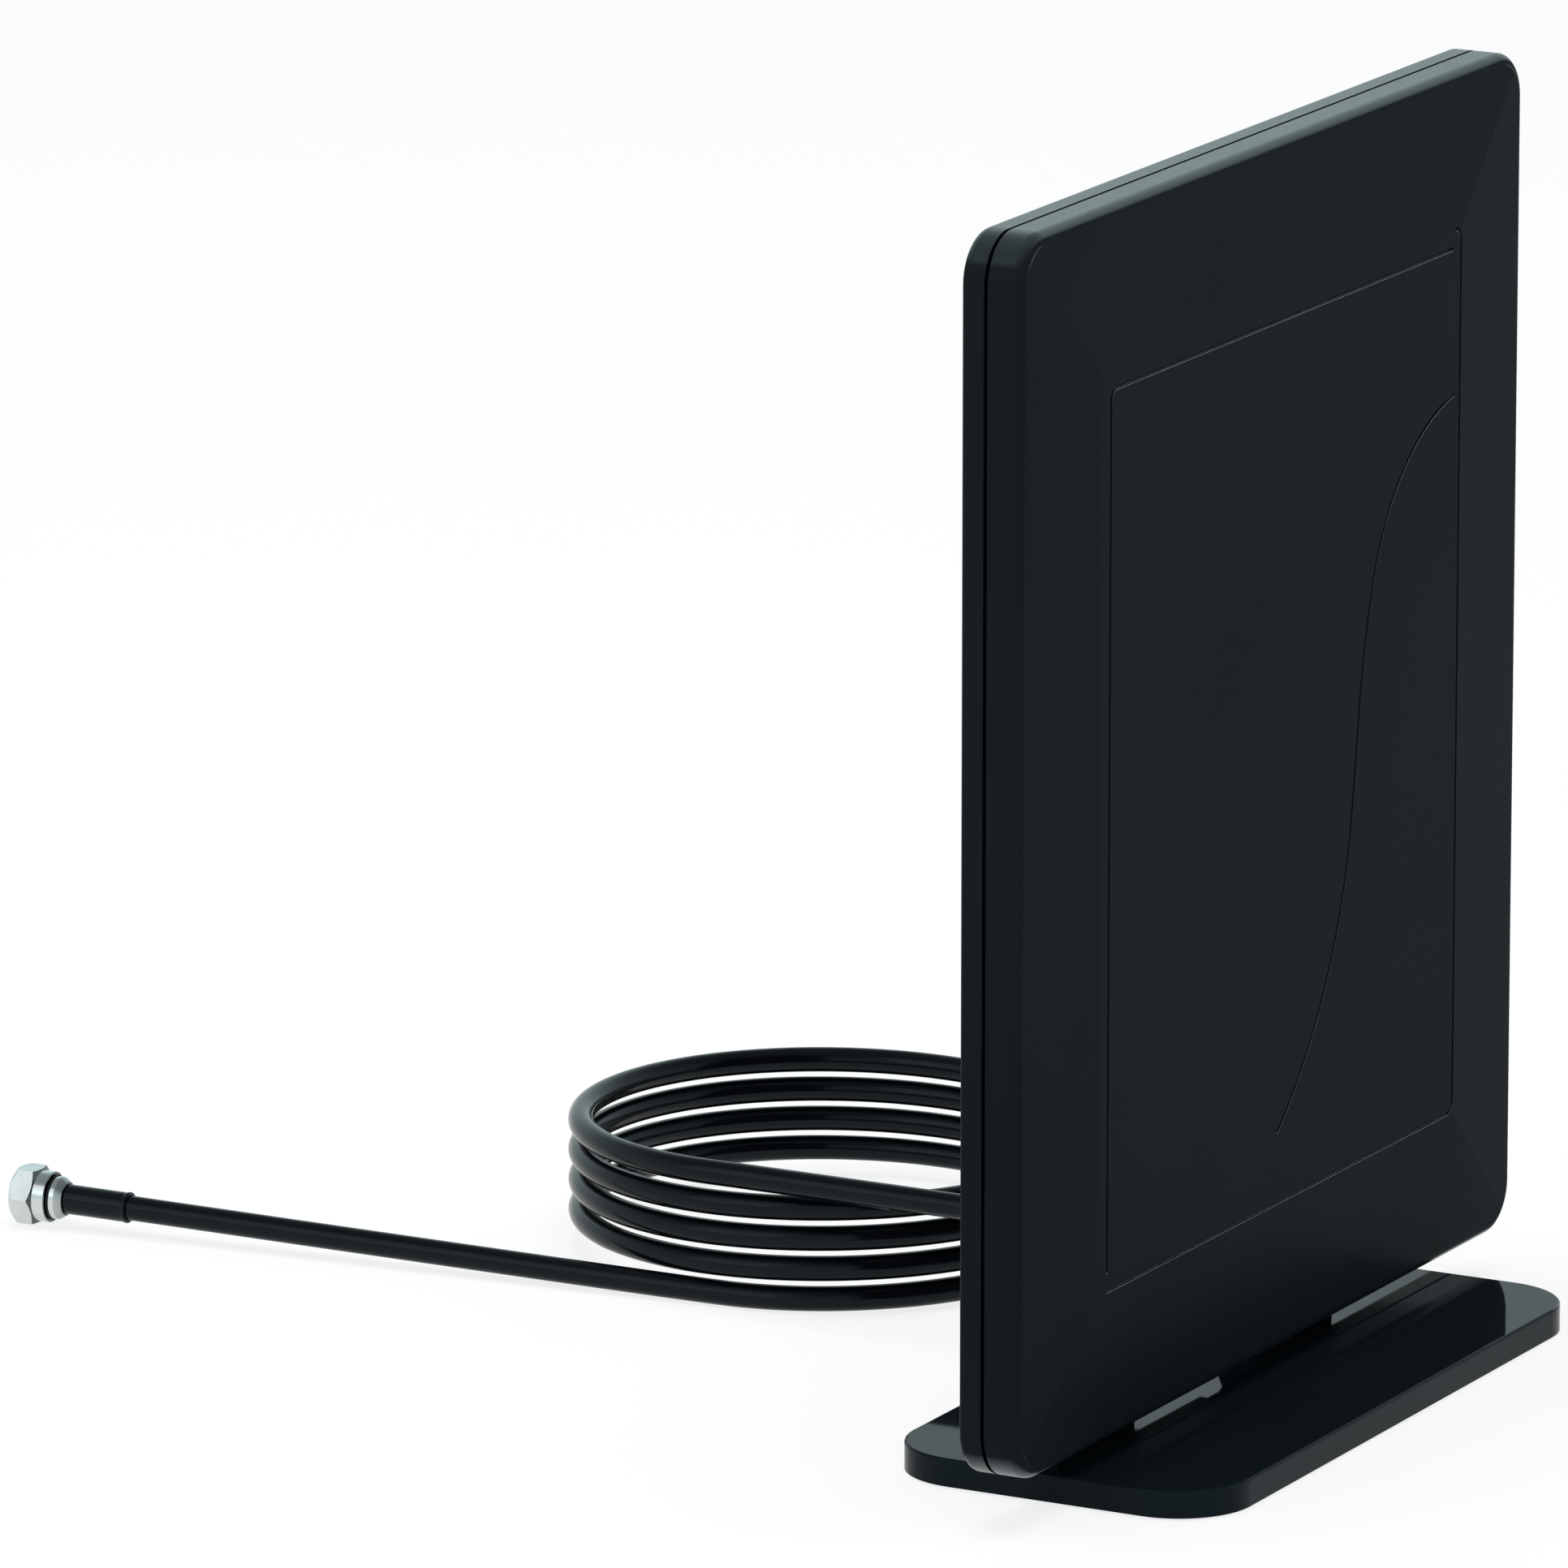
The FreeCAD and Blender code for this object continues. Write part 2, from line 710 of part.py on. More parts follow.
def make_dielectric_core():
    """Insulation of the cable's core inside the connector."""
    return turned([(pin_radius, ferrule_start), (core_radius, ferrule_start), (core_radius, flange_end),
                   (pin_radius, flange_end)])


def make_centre_pin():
    """Bare inner conductor."""
    tip = nut_end - pin_recess
    return turned([(0, ferrule_start), (pin_radius, ferrule_start), (pin_radius, tip), (0, tip)])


def make_coupling_nut():
    """Hexagon nut with a round collar, chamfered ends and a clear bore."""
    corner = nut_across_flats / math.sqrt(3)
    flat = nut_across_flats / 2
    points = []
    for index in range(6):
        angle = math.radians(60 * index + nut_turn)
        points.append(V(corner * math.cos(angle), nut_start, corner * math.sin(angle)))
    hexagon = polygon(points).extrude(V(0, nut_length, 0))
    slope = math.tan(math.radians(nut_chamfer_angle))
    back = (corner - collar_radius) * slope
    front = (corner - flat) * slope
    limit = turned([(0, nut_start), (collar_radius, nut_start), (corner, nut_start + back),
                    (corner, nut_end - front), (flat, nut_end), (0, nut_end)])
    collar = turned([(0, collar_start), (collar_radius, collar_start),
                     (collar_radius, nut_start), (0, nut_start)])
    solid = hexagon.common(limit).fuse(collar).removeSplitter()
    wall_end = collar_start + nut_back_wall
    bore = turned([(0, collar_start), (post_tube_radius + swivel_gap, collar_start),
                   (post_tube_radius + swivel_gap, wall_end), (nut_bore_radius, wall_end),
                   (nut_bore_radius, nut_end), (0, nut_end)])
    return solid.cut(bore)


def build():
    """Every sub-part by name."""
    parts = {
        "front_shell": make_front_shell(),
        "back_shell": make_back_shell(),
        "shell_screws": make_shell_screws(),
        "element_board": make_element_board(),
        "matching_board": make_matching_board(),
        "board_screws": make_board_screws(),
        "foil_element_left": make_foil_element(-1),
        "foil_element_right": make_foil_element(1),
        "shield_can": make_shield_can(),
        "balun_core": make_balun_core(),
        "stand_base": make_stand_base(),
        "bracket_screws": make_bracket_screws(),
        "ballast_plate": make_ballast(),
        "base_cover": make_base_cover(),
        "base_screws": make_base_screws(),
        "cable_gland": make_cable_gland(),
        "cord_lead": straight_tube(V(exit_x, board_back, exit_height), V(exit_x, coil_y, exit_height)),
        "cord_coil": make_cord_coil(),
        "cord_run": straight_tube(coil_leave_point(), run_end + run_direction() * sleeve_length),
        "cable_sleeve": on_connector(make_cable_sleeve()),
        "crimp_ferrule": on_connector(make_crimp_ferrule()),
        "seal_ring": on_connector(make_seal_ring()),
        "connector_post": on_connector(make_connector_post()),
        "dielectric_core": on_connector(make_dielectric_core()),
        "centre_pin": on_connector(make_centre_pin()),
        "coupling_nut": on_connector(make_coupling_nut()),
    }
    for name, x, y in foot_places():
        parts["foot_" + name] = rod_z(x, y, 0, foot_height, foot_radius)
    return parts


os.makedirs("parts", exist_ok=True)
for name, shape in build().items():
    if not shape.isValid():
        raise ValueError(name + " is not a valid solid")
    shape.exportStep(os.path.join("parts", name + ".step"))
    print(f"{name}: {len(shape.Solids)} solid, {shape.Volume:.1f} mm3")
axis = run_direction()
centre = run_end + axis * nut_start
print(f"nut axis {axis.x:.5f} {axis.y:.5f} {axis.z:.5f} at {centre.x:.3f} {centre.y:.3f} {centre.z:.3f}")
turns_length = coil_turns * math.hypot(2 * math.pi * coil_radius, coil_rise / coil_turns)
print(f"coil of {coil_turns} turns, {turns_length:.0f} mm of cord")
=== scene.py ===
"""Looks of a flat indoor television antenna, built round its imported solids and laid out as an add-on.

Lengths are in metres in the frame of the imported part: +Z is up and the panel faces -Y.
"""
import math
from collections import namedtuple

import bmesh
import bpy
import numpy as np
from bpy.props import FloatProperty, FloatVectorProperty, IntProperty, PointerProperty
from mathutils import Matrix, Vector


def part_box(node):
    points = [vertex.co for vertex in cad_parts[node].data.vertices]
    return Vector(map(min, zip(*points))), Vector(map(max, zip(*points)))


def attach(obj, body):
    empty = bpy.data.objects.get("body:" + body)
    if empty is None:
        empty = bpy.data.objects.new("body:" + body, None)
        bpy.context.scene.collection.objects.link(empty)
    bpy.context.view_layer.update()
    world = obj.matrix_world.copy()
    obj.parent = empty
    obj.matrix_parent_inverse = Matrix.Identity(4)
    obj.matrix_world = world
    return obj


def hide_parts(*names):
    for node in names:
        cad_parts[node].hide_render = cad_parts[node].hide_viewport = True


bl_info = {
    "name": "Indoor Antenna Dresser",
    "version": (1, 0, 0),
    "blender": (4, 5, 0),
    "location": "3D View > Sidebar > Antenna",
    "description": "Gives a packed indoor antenna its cord, connector, fasteners, finishes and studio",
    "category": "Object",
}

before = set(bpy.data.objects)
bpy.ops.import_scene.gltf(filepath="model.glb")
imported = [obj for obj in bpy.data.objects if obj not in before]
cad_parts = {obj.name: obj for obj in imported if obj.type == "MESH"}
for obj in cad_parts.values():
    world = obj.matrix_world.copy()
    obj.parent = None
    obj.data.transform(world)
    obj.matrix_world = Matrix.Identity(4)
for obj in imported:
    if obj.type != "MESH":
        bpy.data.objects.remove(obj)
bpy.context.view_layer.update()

MM = 0.001
MERGE_DISTANCE = 1e-7
ANTENNA_BODY = "antenna"
NUT_BODY = "nut"

X_AXIS = np.array([1.0, 0.0, 0.0])
Y_AXIS = np.array([0.0, 1.0, 0.0])
Z_AXIS = np.array([0.0, 0.0, 1.0])

# Route of the cord: where it leaves the panel, the coil's start and the point where its sleeve begins
CORD_EXIT = np.array([11.0, 5.5, 27.4]) * MM
COIL_START = np.array([11.0, 122.0, 27.4]) * MM
RUN_END = np.array([0.5, 251.4, 5.72]) * MM
COIL_LEAVE_DEGREES = 184.6
PANEL_WALL = 2.0 * MM

# Stations along the connector, from the cable end of its sleeve
BAND_END = 0.6 * MM
BAND_FOOT = 0.9 * MM
SLEEVE_END = 14.0 * MM
CONE_END = 15.5 * MM
FERRULE_END = 16.6 * MM
SEAL_END = 17.1 * MM
COLLAR_START = 17.2 * MM
NUT_WALL_END = 19.2 * MM
HEX_START = 19.9 * MM
NUT_END = 25.1 * MM

# Radii, walls and roundings of the connector's turned pieces
BAND_RISE = 0.14 * MM
SLEEVE_ROUND = 0.3 * MM
FERRULE_BORE = 1.9 * MM
FERRULE_NECK = 3.4 * MM
FERRULE_CUP = 3.5 * MM
FERRULE_RADIUS = 4.4 * MM
FERRULE_FLOOR = 1.0 * MM
FERRULE_ROUND = 0.15 * MM
SEAL_RADIUS = 4.6 * MM
SEAL_ROUND = 0.2 * MM
NUT_HOLE = 3.58 * MM
NUT_EDGE = 0.18 * MM
NUT_BACK_CHAMFER = 30.0
HEX_STEP = math.pi / 3

# What the cord carries at its end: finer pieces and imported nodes
CONNECTOR_PIECES = ("shrunk_sleeve", "turned_ferrule", "rubber_ring", "threaded_nut")
CONNECTOR_NODES = ("connector_post", "dielectric_core", "centre_pin")

# Strain relief: radii, ribs, and how many times sooner than at the tip itself the ribs begin to fade
RELIEF_FLANGE = 6.2 * MM
RELIEF_NECK = 4.2 * MM
RELIEF_ROOT = 5.2 * MM
RELIEF_TIP = 3.2 * MM
RIB_DEPTH = 0.55 * MM
RIB_PITCH = 2.2 * MM
RIB_PHASE = 1.2
RIB_FLATNESS = 1.6
RIB_FADE = 6.0

# Screws and where they stand
ScrewSize = namedtuple("ScrewSize", ("head_radius", "head_height", "shank_radius"))
SHELL_SCREW = ScrewSize(2.6 * MM, 1.2 * MM, 1.2 * MM)
BRACKET_SCREW = ScrewSize(2.8 * MM, 1.8 * MM, 1.5 * MM)
BASE_SCREW = ScrewSize(2.3 * MM, 0.6 * MM, 1.1 * MM)
SHELL_SCREW_LENGTH = 9.5 * MM
SHELL_SCREW_SIDE_INSET = 9.5 * MM
SHELL_SCREW_END_INSET = 15.0 * MM
BRACKET_SCREW_X = (35.25 * MM, 51.25 * MM)
BASE_SCREW_X = 52.0 * MM
BASE_SCREW_Y = 16.0 * MM
SCREW_TIP_SHARE = 0.6
RECESS_DEPTH_SHARE = 0.42
RECESS_TAPER = (0.6, 1.4)

# Steps of the meshes, and the angles in degrees past which an edge stays sharp
TURN_SEGMENTS = 96
SCREW_SEGMENTS = 64
NUT_SEGMENTS = 180
NUT_BACK_STEPS = 12
NUT_FRONT_STEPS = 16
THREAD_STEPS = 110
RIB_STEPS = 120
CROWN_STEPS = 14
ROUND_STEPS = 8
CURVE_STEPS = 8
CORNER_STEPS = 5
CORNER_SHARE = 0.45
PLAIN_EDGE = 35.0
TURNED_EDGE = 60.0
RIB_EDGE = 50.0
NUT_EDGE_ANGLE = 24.0
CUTTER_EDGE = 30.0

# Share of a mesh that a sound cut leaves
CUT_LEAVES = (0.5, 0.999)

# Colours; the cool tint is the tone of the gloss on black plastic
COOL_TINT = (0.78, 0.96, 1.0, 1.0)
SEAL_BLACK = (0.004, 0.004, 0.004)
RELIEF_BLACK = (0.007, 0.008, 0.008)
FOOT_BLACK = (0.016, 0.016, 0.016)
COVER_BLACK = (0.012, 0.012, 0.013)
FERRITE_GREY = (0.03, 0.03, 0.033)
FOAM_WHITE = (0.82, 0.82, 0.79)
WIRE_COPPER = (0.74, 0.42, 0.26)
FOIL_COPPER = (0.78, 0.44, 0.28)
ZINC_GREY = (0.46, 0.47, 0.49)
ZINC_BLACK = (0.055, 0.057, 0.06)
TIN_GREY = (0.66, 0.67, 0.68)
PLATE_GREY = (0.4, 0.41, 0.42)
BOARD_GREEN = (0.02, 0.13, 0.055)

# Refraction of the finishes
JACKET_IOR = 1.26
STAND_IOR = 1.15
RUBBER_IOR = 1.3
BOARD_IOR = 1.45
FLOOR_IOR = 1.01

# Scales of the surface patterns
FLOW_SCALE = 9.0
GRAIN_SCALE = 2600.0
WIPE_SCALE = 14.0
SKIN_SCALE = 420.0
JACKET_SCALE = 45.0
POWDER_SCALE = 1800.0
MARK_SCALE = 1500.0
PLATING_SCALE = 160.0
WEAVE_SCALE = 900.0
CLOUD_SCALE = 1.5
ROLLED_ALONG_X = (0.1, 1.0, 1.0)
ROLLED_ALONG_Z = (1.0, 1.0, 0.1)

# Where a pattern starts and ends: plain noise, gloss of level faces, painted highlight on upturned edges,
# painted shade in the seam and painted shade on faces that look back along the cord
PATTERN_SPAN = (0.3, 0.7)
GLOSS_SPAN = (0.42, 0.93)
LIP_HIGHLIGHT_SPAN = (0.08, 0.5)
LIP_SAMPLES = 8
SEAM_PAINTED_SPAN = (0.4, 0.55)
SEAM_PAINTED_DARKNESS = 0.1
SHADED_SIDE_SPAN = (0.3, 0.9)
SHADED_SIDE_DARKNESS = 0.1

# Studio
OVERHEAD_PLACE = (-0.2, 0.0, 2.6)
OVERHEAD_SIZE = 2.0
SIDE_PLACE = (-2.2, 0.9, 1.6)
SIDE_SIZE = 2.0
CAMERA_DEGREES = (76.254, 0.0, -61.750)
SENSOR_WIDTH = 36.0
VIEW_REACH = 100.0
FLOOR_REACH = 40.0
WALL_TOP = 0.4
CEILING_START = 0.75


def length_setting(name, description, value):
    """Setting for a length in metres."""
    return FloatProperty(name=name, description=description, default=value, unit="LENGTH")


def share_setting(name, description, value):
    """Setting for a share or a plain factor."""
    return FloatProperty(name=name, description=description, default=value, subtype="FACTOR")


def power_setting(name, description, value):
    """Setting for a lamp's power in watts."""
    return FloatProperty(name=name, description=description, default=value, unit="POWER")


def colour_setting(name, description, value):
    """Setting for a colour."""
    return FloatVectorProperty(name=name, description=description, default=value, subtype="COLOR")


class CordShape(bpy.types.PropertyGroup):
    """Sizes and finish of the coaxial cord."""

    diameter: length_setting("Diameter", "Outside of the cable's jacket", 5.1 * MM)
    coil_radius: length_setting("Coil radius", "Middle of the turns to the coil's centre", 52.0 * MM)
    turns: IntProperty(name="Turns", description="Turns in the coil", default=4, min=1)
    points_per_turn: IntProperty(name="Points a turn", description="Control points in one turn of the coil",
                                 default=16, min=12)
    colour: colour_setting("Colour", "Colour of the jacket", (0.0024, 0.003, 0.0042))
    roughness: share_setting("Roughness", "Roughness of the jacket", 0.15)


class ConnectorShape(bpy.types.PropertyGroup):
    """Sizes and finish of the screw-on connector."""

    across_flats: length_setting("Across flats", "Spanner size of the nut", 11.1 * MM)
    nut_turn: FloatProperty(name="Nut turn", description="How far the nut's first corner is turned at rest",
                            default=math.radians(-1.5), subtype="ANGLE")
    collar_radius: length_setting("Collar radius", "Round collar behind the hexagon", 5.2 * MM)
    thread_radius: length_setting("Thread radius", "Root of the inner thread", 4.8 * MM)
    thread_depth: length_setting("Thread depth", "Height of the inner thread", 0.4 * MM)
    thread_pitch: length_setting("Thread pitch", "Rise of the thread in one turn", 0.794 * MM)
    front_radius: length_setting("Front radius", "Small end of the nut's front chamfer", 5.2 * MM)
    sleeve_radius: length_setting("Sleeve radius", "Outside of the shrunk sleeve", 3.05 * MM)
    metal: colour_setting("Plating", "Colour of the plated metal", (0.615, 0.65, 0.65))


class PanelFinish(bpy.types.PropertyGroup):
    """Colours and gloss of the panel and the stand."""

    panel_colour: colour_setting("Panel colour", "Satin plastic of the panel", (0.0085, 0.0108, 0.0127))
    panel_roughness: share_setting("Panel roughness", "Roughness of the satin plastic", 0.3)
    upright_gloss: share_setting("Upright gloss", "Gloss of the panel's upright faces", 0.008)
    level_gloss: share_setting("Level gloss", "Gloss of the panel's faces that lie level", 1.0)
    # Painted highlight: a pale colour on edges whose rounding turns upwards, standing in for light from
    # above
    lip_highlight_colour: colour_setting("Lip colour", "Worn edges that look upwards", (0.36, 0.41, 0.41))
    lip_highlight_width: length_setting("Lip width", "How far the wear reaches from an edge", 0.17 * MM)
    # Painted shade: the seam where the two shells meet is darkened in colour and kept from reflecting
    seam_shade_width: length_setting("Seam width", "Dark line where the two shells meet", 0.8 * MM)
    stand_colour: colour_setting("Stand colour", "Polished plastic of the stand", (0.0045, 0.0075, 0.0095))
    stand_roughness: share_setting("Stand roughness", "Roughness of the polished plastic", 0.035)


class FastenerShape(bpy.types.PropertyGroup):
    """Sizes of the screws' cross recess and of the foot pads."""

    arm_width: share_setting("Recess width", "Width of the cross recess, as a share of the head", 0.2)
    arm_reach: share_setting("Recess reach", "Reach of the cross recess, as a share of the head", 0.58)
    crown: length_setting("Crown", "Rise of the head's middle over its rim", 0.25 * MM)
    foot_round: length_setting("Foot rounding", "Rounding of the foot pads' lower rim", 0.3 * MM)


class StageSetup(bpy.types.PropertyGroup):
    """Camera, lamps and floor."""

    lens: FloatProperty(name="Lens", description="Focal length on a sensor 36 mm wide", default=348.1)
    camera_place: FloatVectorProperty(name="Camera place", description="Where the camera stands",
                                      default=(-2.55143, -1.27041, 0.82038), unit="LENGTH")
    camera_turn: FloatVectorProperty(name="Camera turn", description="Turn of the camera about X, Y and Z",
                                     default=tuple(map(math.radians, CAMERA_DEGREES)), subtype="EULER")
    floor_colour: colour_setting("Floor colour", "Colour of the pale floor", (0.9, 0.905, 0.905))
    walls: colour_setting("Walls", "Colour of the pale cool walls", (0.78, 0.94, 0.95))
    ceiling: colour_setting("Ceiling", "Colour of the dimmer ceiling", (0.28, 0.31, 0.315))
    floor_glow: share_setting("Floor glow", "Share of the floor's look that is plain white", 0.8)
    overhead_power: power_setting("Overhead lamp", "Power of the large lamp above", 54.0)
    side_power: power_setting("Side lamp", "Power of the lamp on the left", 9.7)


def grid_faces(rows, columns, wrap_rows=False, wrap_columns=True):
    """Corners of every cell of a grid of points; a wrapped direction joins its last line to its first."""
    index = np.arange(rows * columns).reshape(rows, columns)
    if wrap_rows:
        index = np.vstack((index, index[:1]))
    if wrap_columns:
        index = np.hstack((index, index[:, :1]))
    cells = (index[:-1, :-1], index[:-1, 1:], index[1:, 1:], index[1:, :-1])
    return np.stack(cells, axis=-1).reshape(-1, 4)


def grid_mesh(name, points, wrap_rows=False, wrap_columns=True, sharp=PLAIN_EDGE):
    """Closed mesh over a grid of points, with smooth faces and sharp edges past an angle in degrees."""
    mesh = bpy.data.meshes.new(name)
    faces = grid_faces(points.shape[0], points.shape[1], wrap_rows, wrap_columns)
    mesh.from_pydata(points.reshape(-1, 3).tolist(), [], faces.tolist())
    return clean_mesh(mesh, sharp)


def clean_mesh(mesh, sharp):
    """Merge the doubled points of poles and seams, turn the faces outwards and mark the sharp edges."""
    work = bmesh.new()
    work.from_mesh(mesh)
    bmesh.ops.remove_doubles(work, verts=work.verts, dist=MERGE_DISTANCE)
    bmesh.ops.dissolve_degenerate(work, edges=work.edges, dist=MERGE_DISTANCE)
    bmesh.ops.recalc_face_normals(work, faces=work.faces)
    work.to_mesh(mesh)
    work.free()
    mesh.polygons.foreach_set("use_smooth", np.ones(len(mesh.polygons), dtype=bool))
    mesh.set_sharp_from_angle(angle=math.radians(sharp))
    mesh.update()
    return mesh


def add_piece(name, data, material, body, stands_for=()):
    """Link a finished piece at the origin, give it its finish and let it ride on a body."""
    piece = bpy.data.objects.new(name, data)
    bpy.context.scene.collection.objects.link(piece)
    data.materials.clear()
    data.materials.append(material)
    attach(piece, body)
    if stands_for:
        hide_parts(*stands_for)
    return piece


def dress_node(name, material):
    """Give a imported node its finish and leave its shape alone."""
    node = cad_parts[name]
    for holder in node.material_slots:
        holder.material = material


def soft_corners(profile, radius):
    """Round every corner of a closed profile.

    A corner P between points A and B, each the rounding radius (or a set share of the side) away along its
    sides, becomes the curve (1-t)^2 A + 2t(1-t) P + t^2 B for t from 0 to 1.
    """
    corner = np.asarray(profile, float)
    back = np.roll(corner, 1, axis=0) - corner
    ahead = np.roll(corner, -1, axis=0) - corner
    back_length = np.linalg.norm(back, axis=1, keepdims=True)
    ahead_length = np.linalg.norm(ahead, axis=1, keepdims=True)
    start = corner + back / back_length * np.minimum(radius, CORNER_SHARE * back_length)
    end = corner + ahead / ahead_length * np.minimum(radius, CORNER_SHARE * ahead_length)
    t = np.linspace(0.0, 1.0, CORNER_STEPS)[None, :, None]
    curve = (1 - t) ** 2 * start[:, None] + 2 * t * (1 - t) * corner[:, None] + t ** 2 * end[:, None]
    return curve.reshape(-1, 2)


def axis_place(start, axis):
    """Start, axis and two cross directions: X and Z turned as the shortest turn takes Y to the axis."""
    axis = np.asarray(axis, float) / np.linalg.norm(axis)
    cross = np.cross(Y_AXIS, axis)
    skew = np.array([[0, -cross[2], cross[1]], [cross[2], 0, -cross[0]], [-cross[1], cross[0], 0]])
    turn = np.eye(3) + skew + skew @ skew / (1.0 + Y_AXIS @ axis)
    return np.asarray(start, float), axis, turn @ X_AXIS, turn @ Z_AXIS


def swept_round(radius, station, angle, place):
    """Surface round an axis: start + station * axis + radius * (cos angle * side + sin angle * other)."""
    start, axis, side, other = place
    ring = np.cos(angle)[..., None] * side + np.sin(angle)[..., None] * other
    return start + np.asarray(station)[..., None] * axis + np.asarray(radius)[..., None] * ring


def turned_mesh(name, profile, place, segments=TURN_SEGMENTS, closed=True, sharp=PLAIN_EDGE):
    """Solid of revolution from (radius, station) pairs; an open profile starts and ends on the axis."""
    radius, station = np.asarray(profile, float).T
    angle = np.linspace(0.0, 2 * math.pi, segments, endpoint=False)
    angle, radius = np.meshgrid(angle, radius)
    station = np.repeat(station[:, None], segments, axis=1)
    points = swept_round(radius, station, angle, place)
    return grid_mesh(name, points, wrap_rows=closed, sharp=sharp)


def mesh_volume(mesh):
    """Volume inside a closed mesh."""
    work = bmesh.new()
    work.from_mesh(mesh)
    volume = work.calc_volume()
    work.free()
    return volume


def carve(mesh, cutter):
    """Cut one closed mesh out of another with an exact Boolean and return the finished mesh."""
    target = bpy.data.objects.new("carve_target", mesh)
    knife = bpy.data.objects.new("carve_knife", cutter)
    for item in (target, knife):
        bpy.context.scene.collection.objects.link(item)
    step = target.modifiers.new("cut", "BOOLEAN")
    step.operation = "DIFFERENCE"
    step.solver = "EXACT"
    step.object = knife
    bpy.context.view_layer.update()
    ready = target.evaluated_get(bpy.context.evaluated_depsgraph_get())
    carved = bpy.data.meshes.new_from_object(ready)
    share = mesh_volume(carved) / mesh_volume(mesh)
    if not CUT_LEAVES[0] < share < CUT_LEAVES[1]:
        raise RuntimeError(f"the cut left {share:.4f} of the volume")
    for item in (target, knife):
        bpy.data.objects.remove(item)
    bpy.data.meshes.remove(cutter)
    return clean_mesh(carved, PLAIN_EDGE)


def repeated_mesh(name, mesh, shifts):
    """Copies of one mesh at several places, in one mesh."""
    count = len(mesh.vertices)
    flat = np.zeros(count * 3)
    mesh.vertices.foreach_get("co", flat)
    points = (flat.reshape(1, -1, 3) + np.asarray(shifts, float)[:, None, :]).reshape(-1, 3)
    one = [list(face.vertices) for face in mesh.polygons]
    faces = [[corner + copy * count for corner in face] for copy in range(len(shifts)) for face in one]
    many = bpy.data.meshes.new(name)
    many.from_pydata(points.tolist(), [], faces)
    return clean_mesh(many, PLAIN_EDGE)


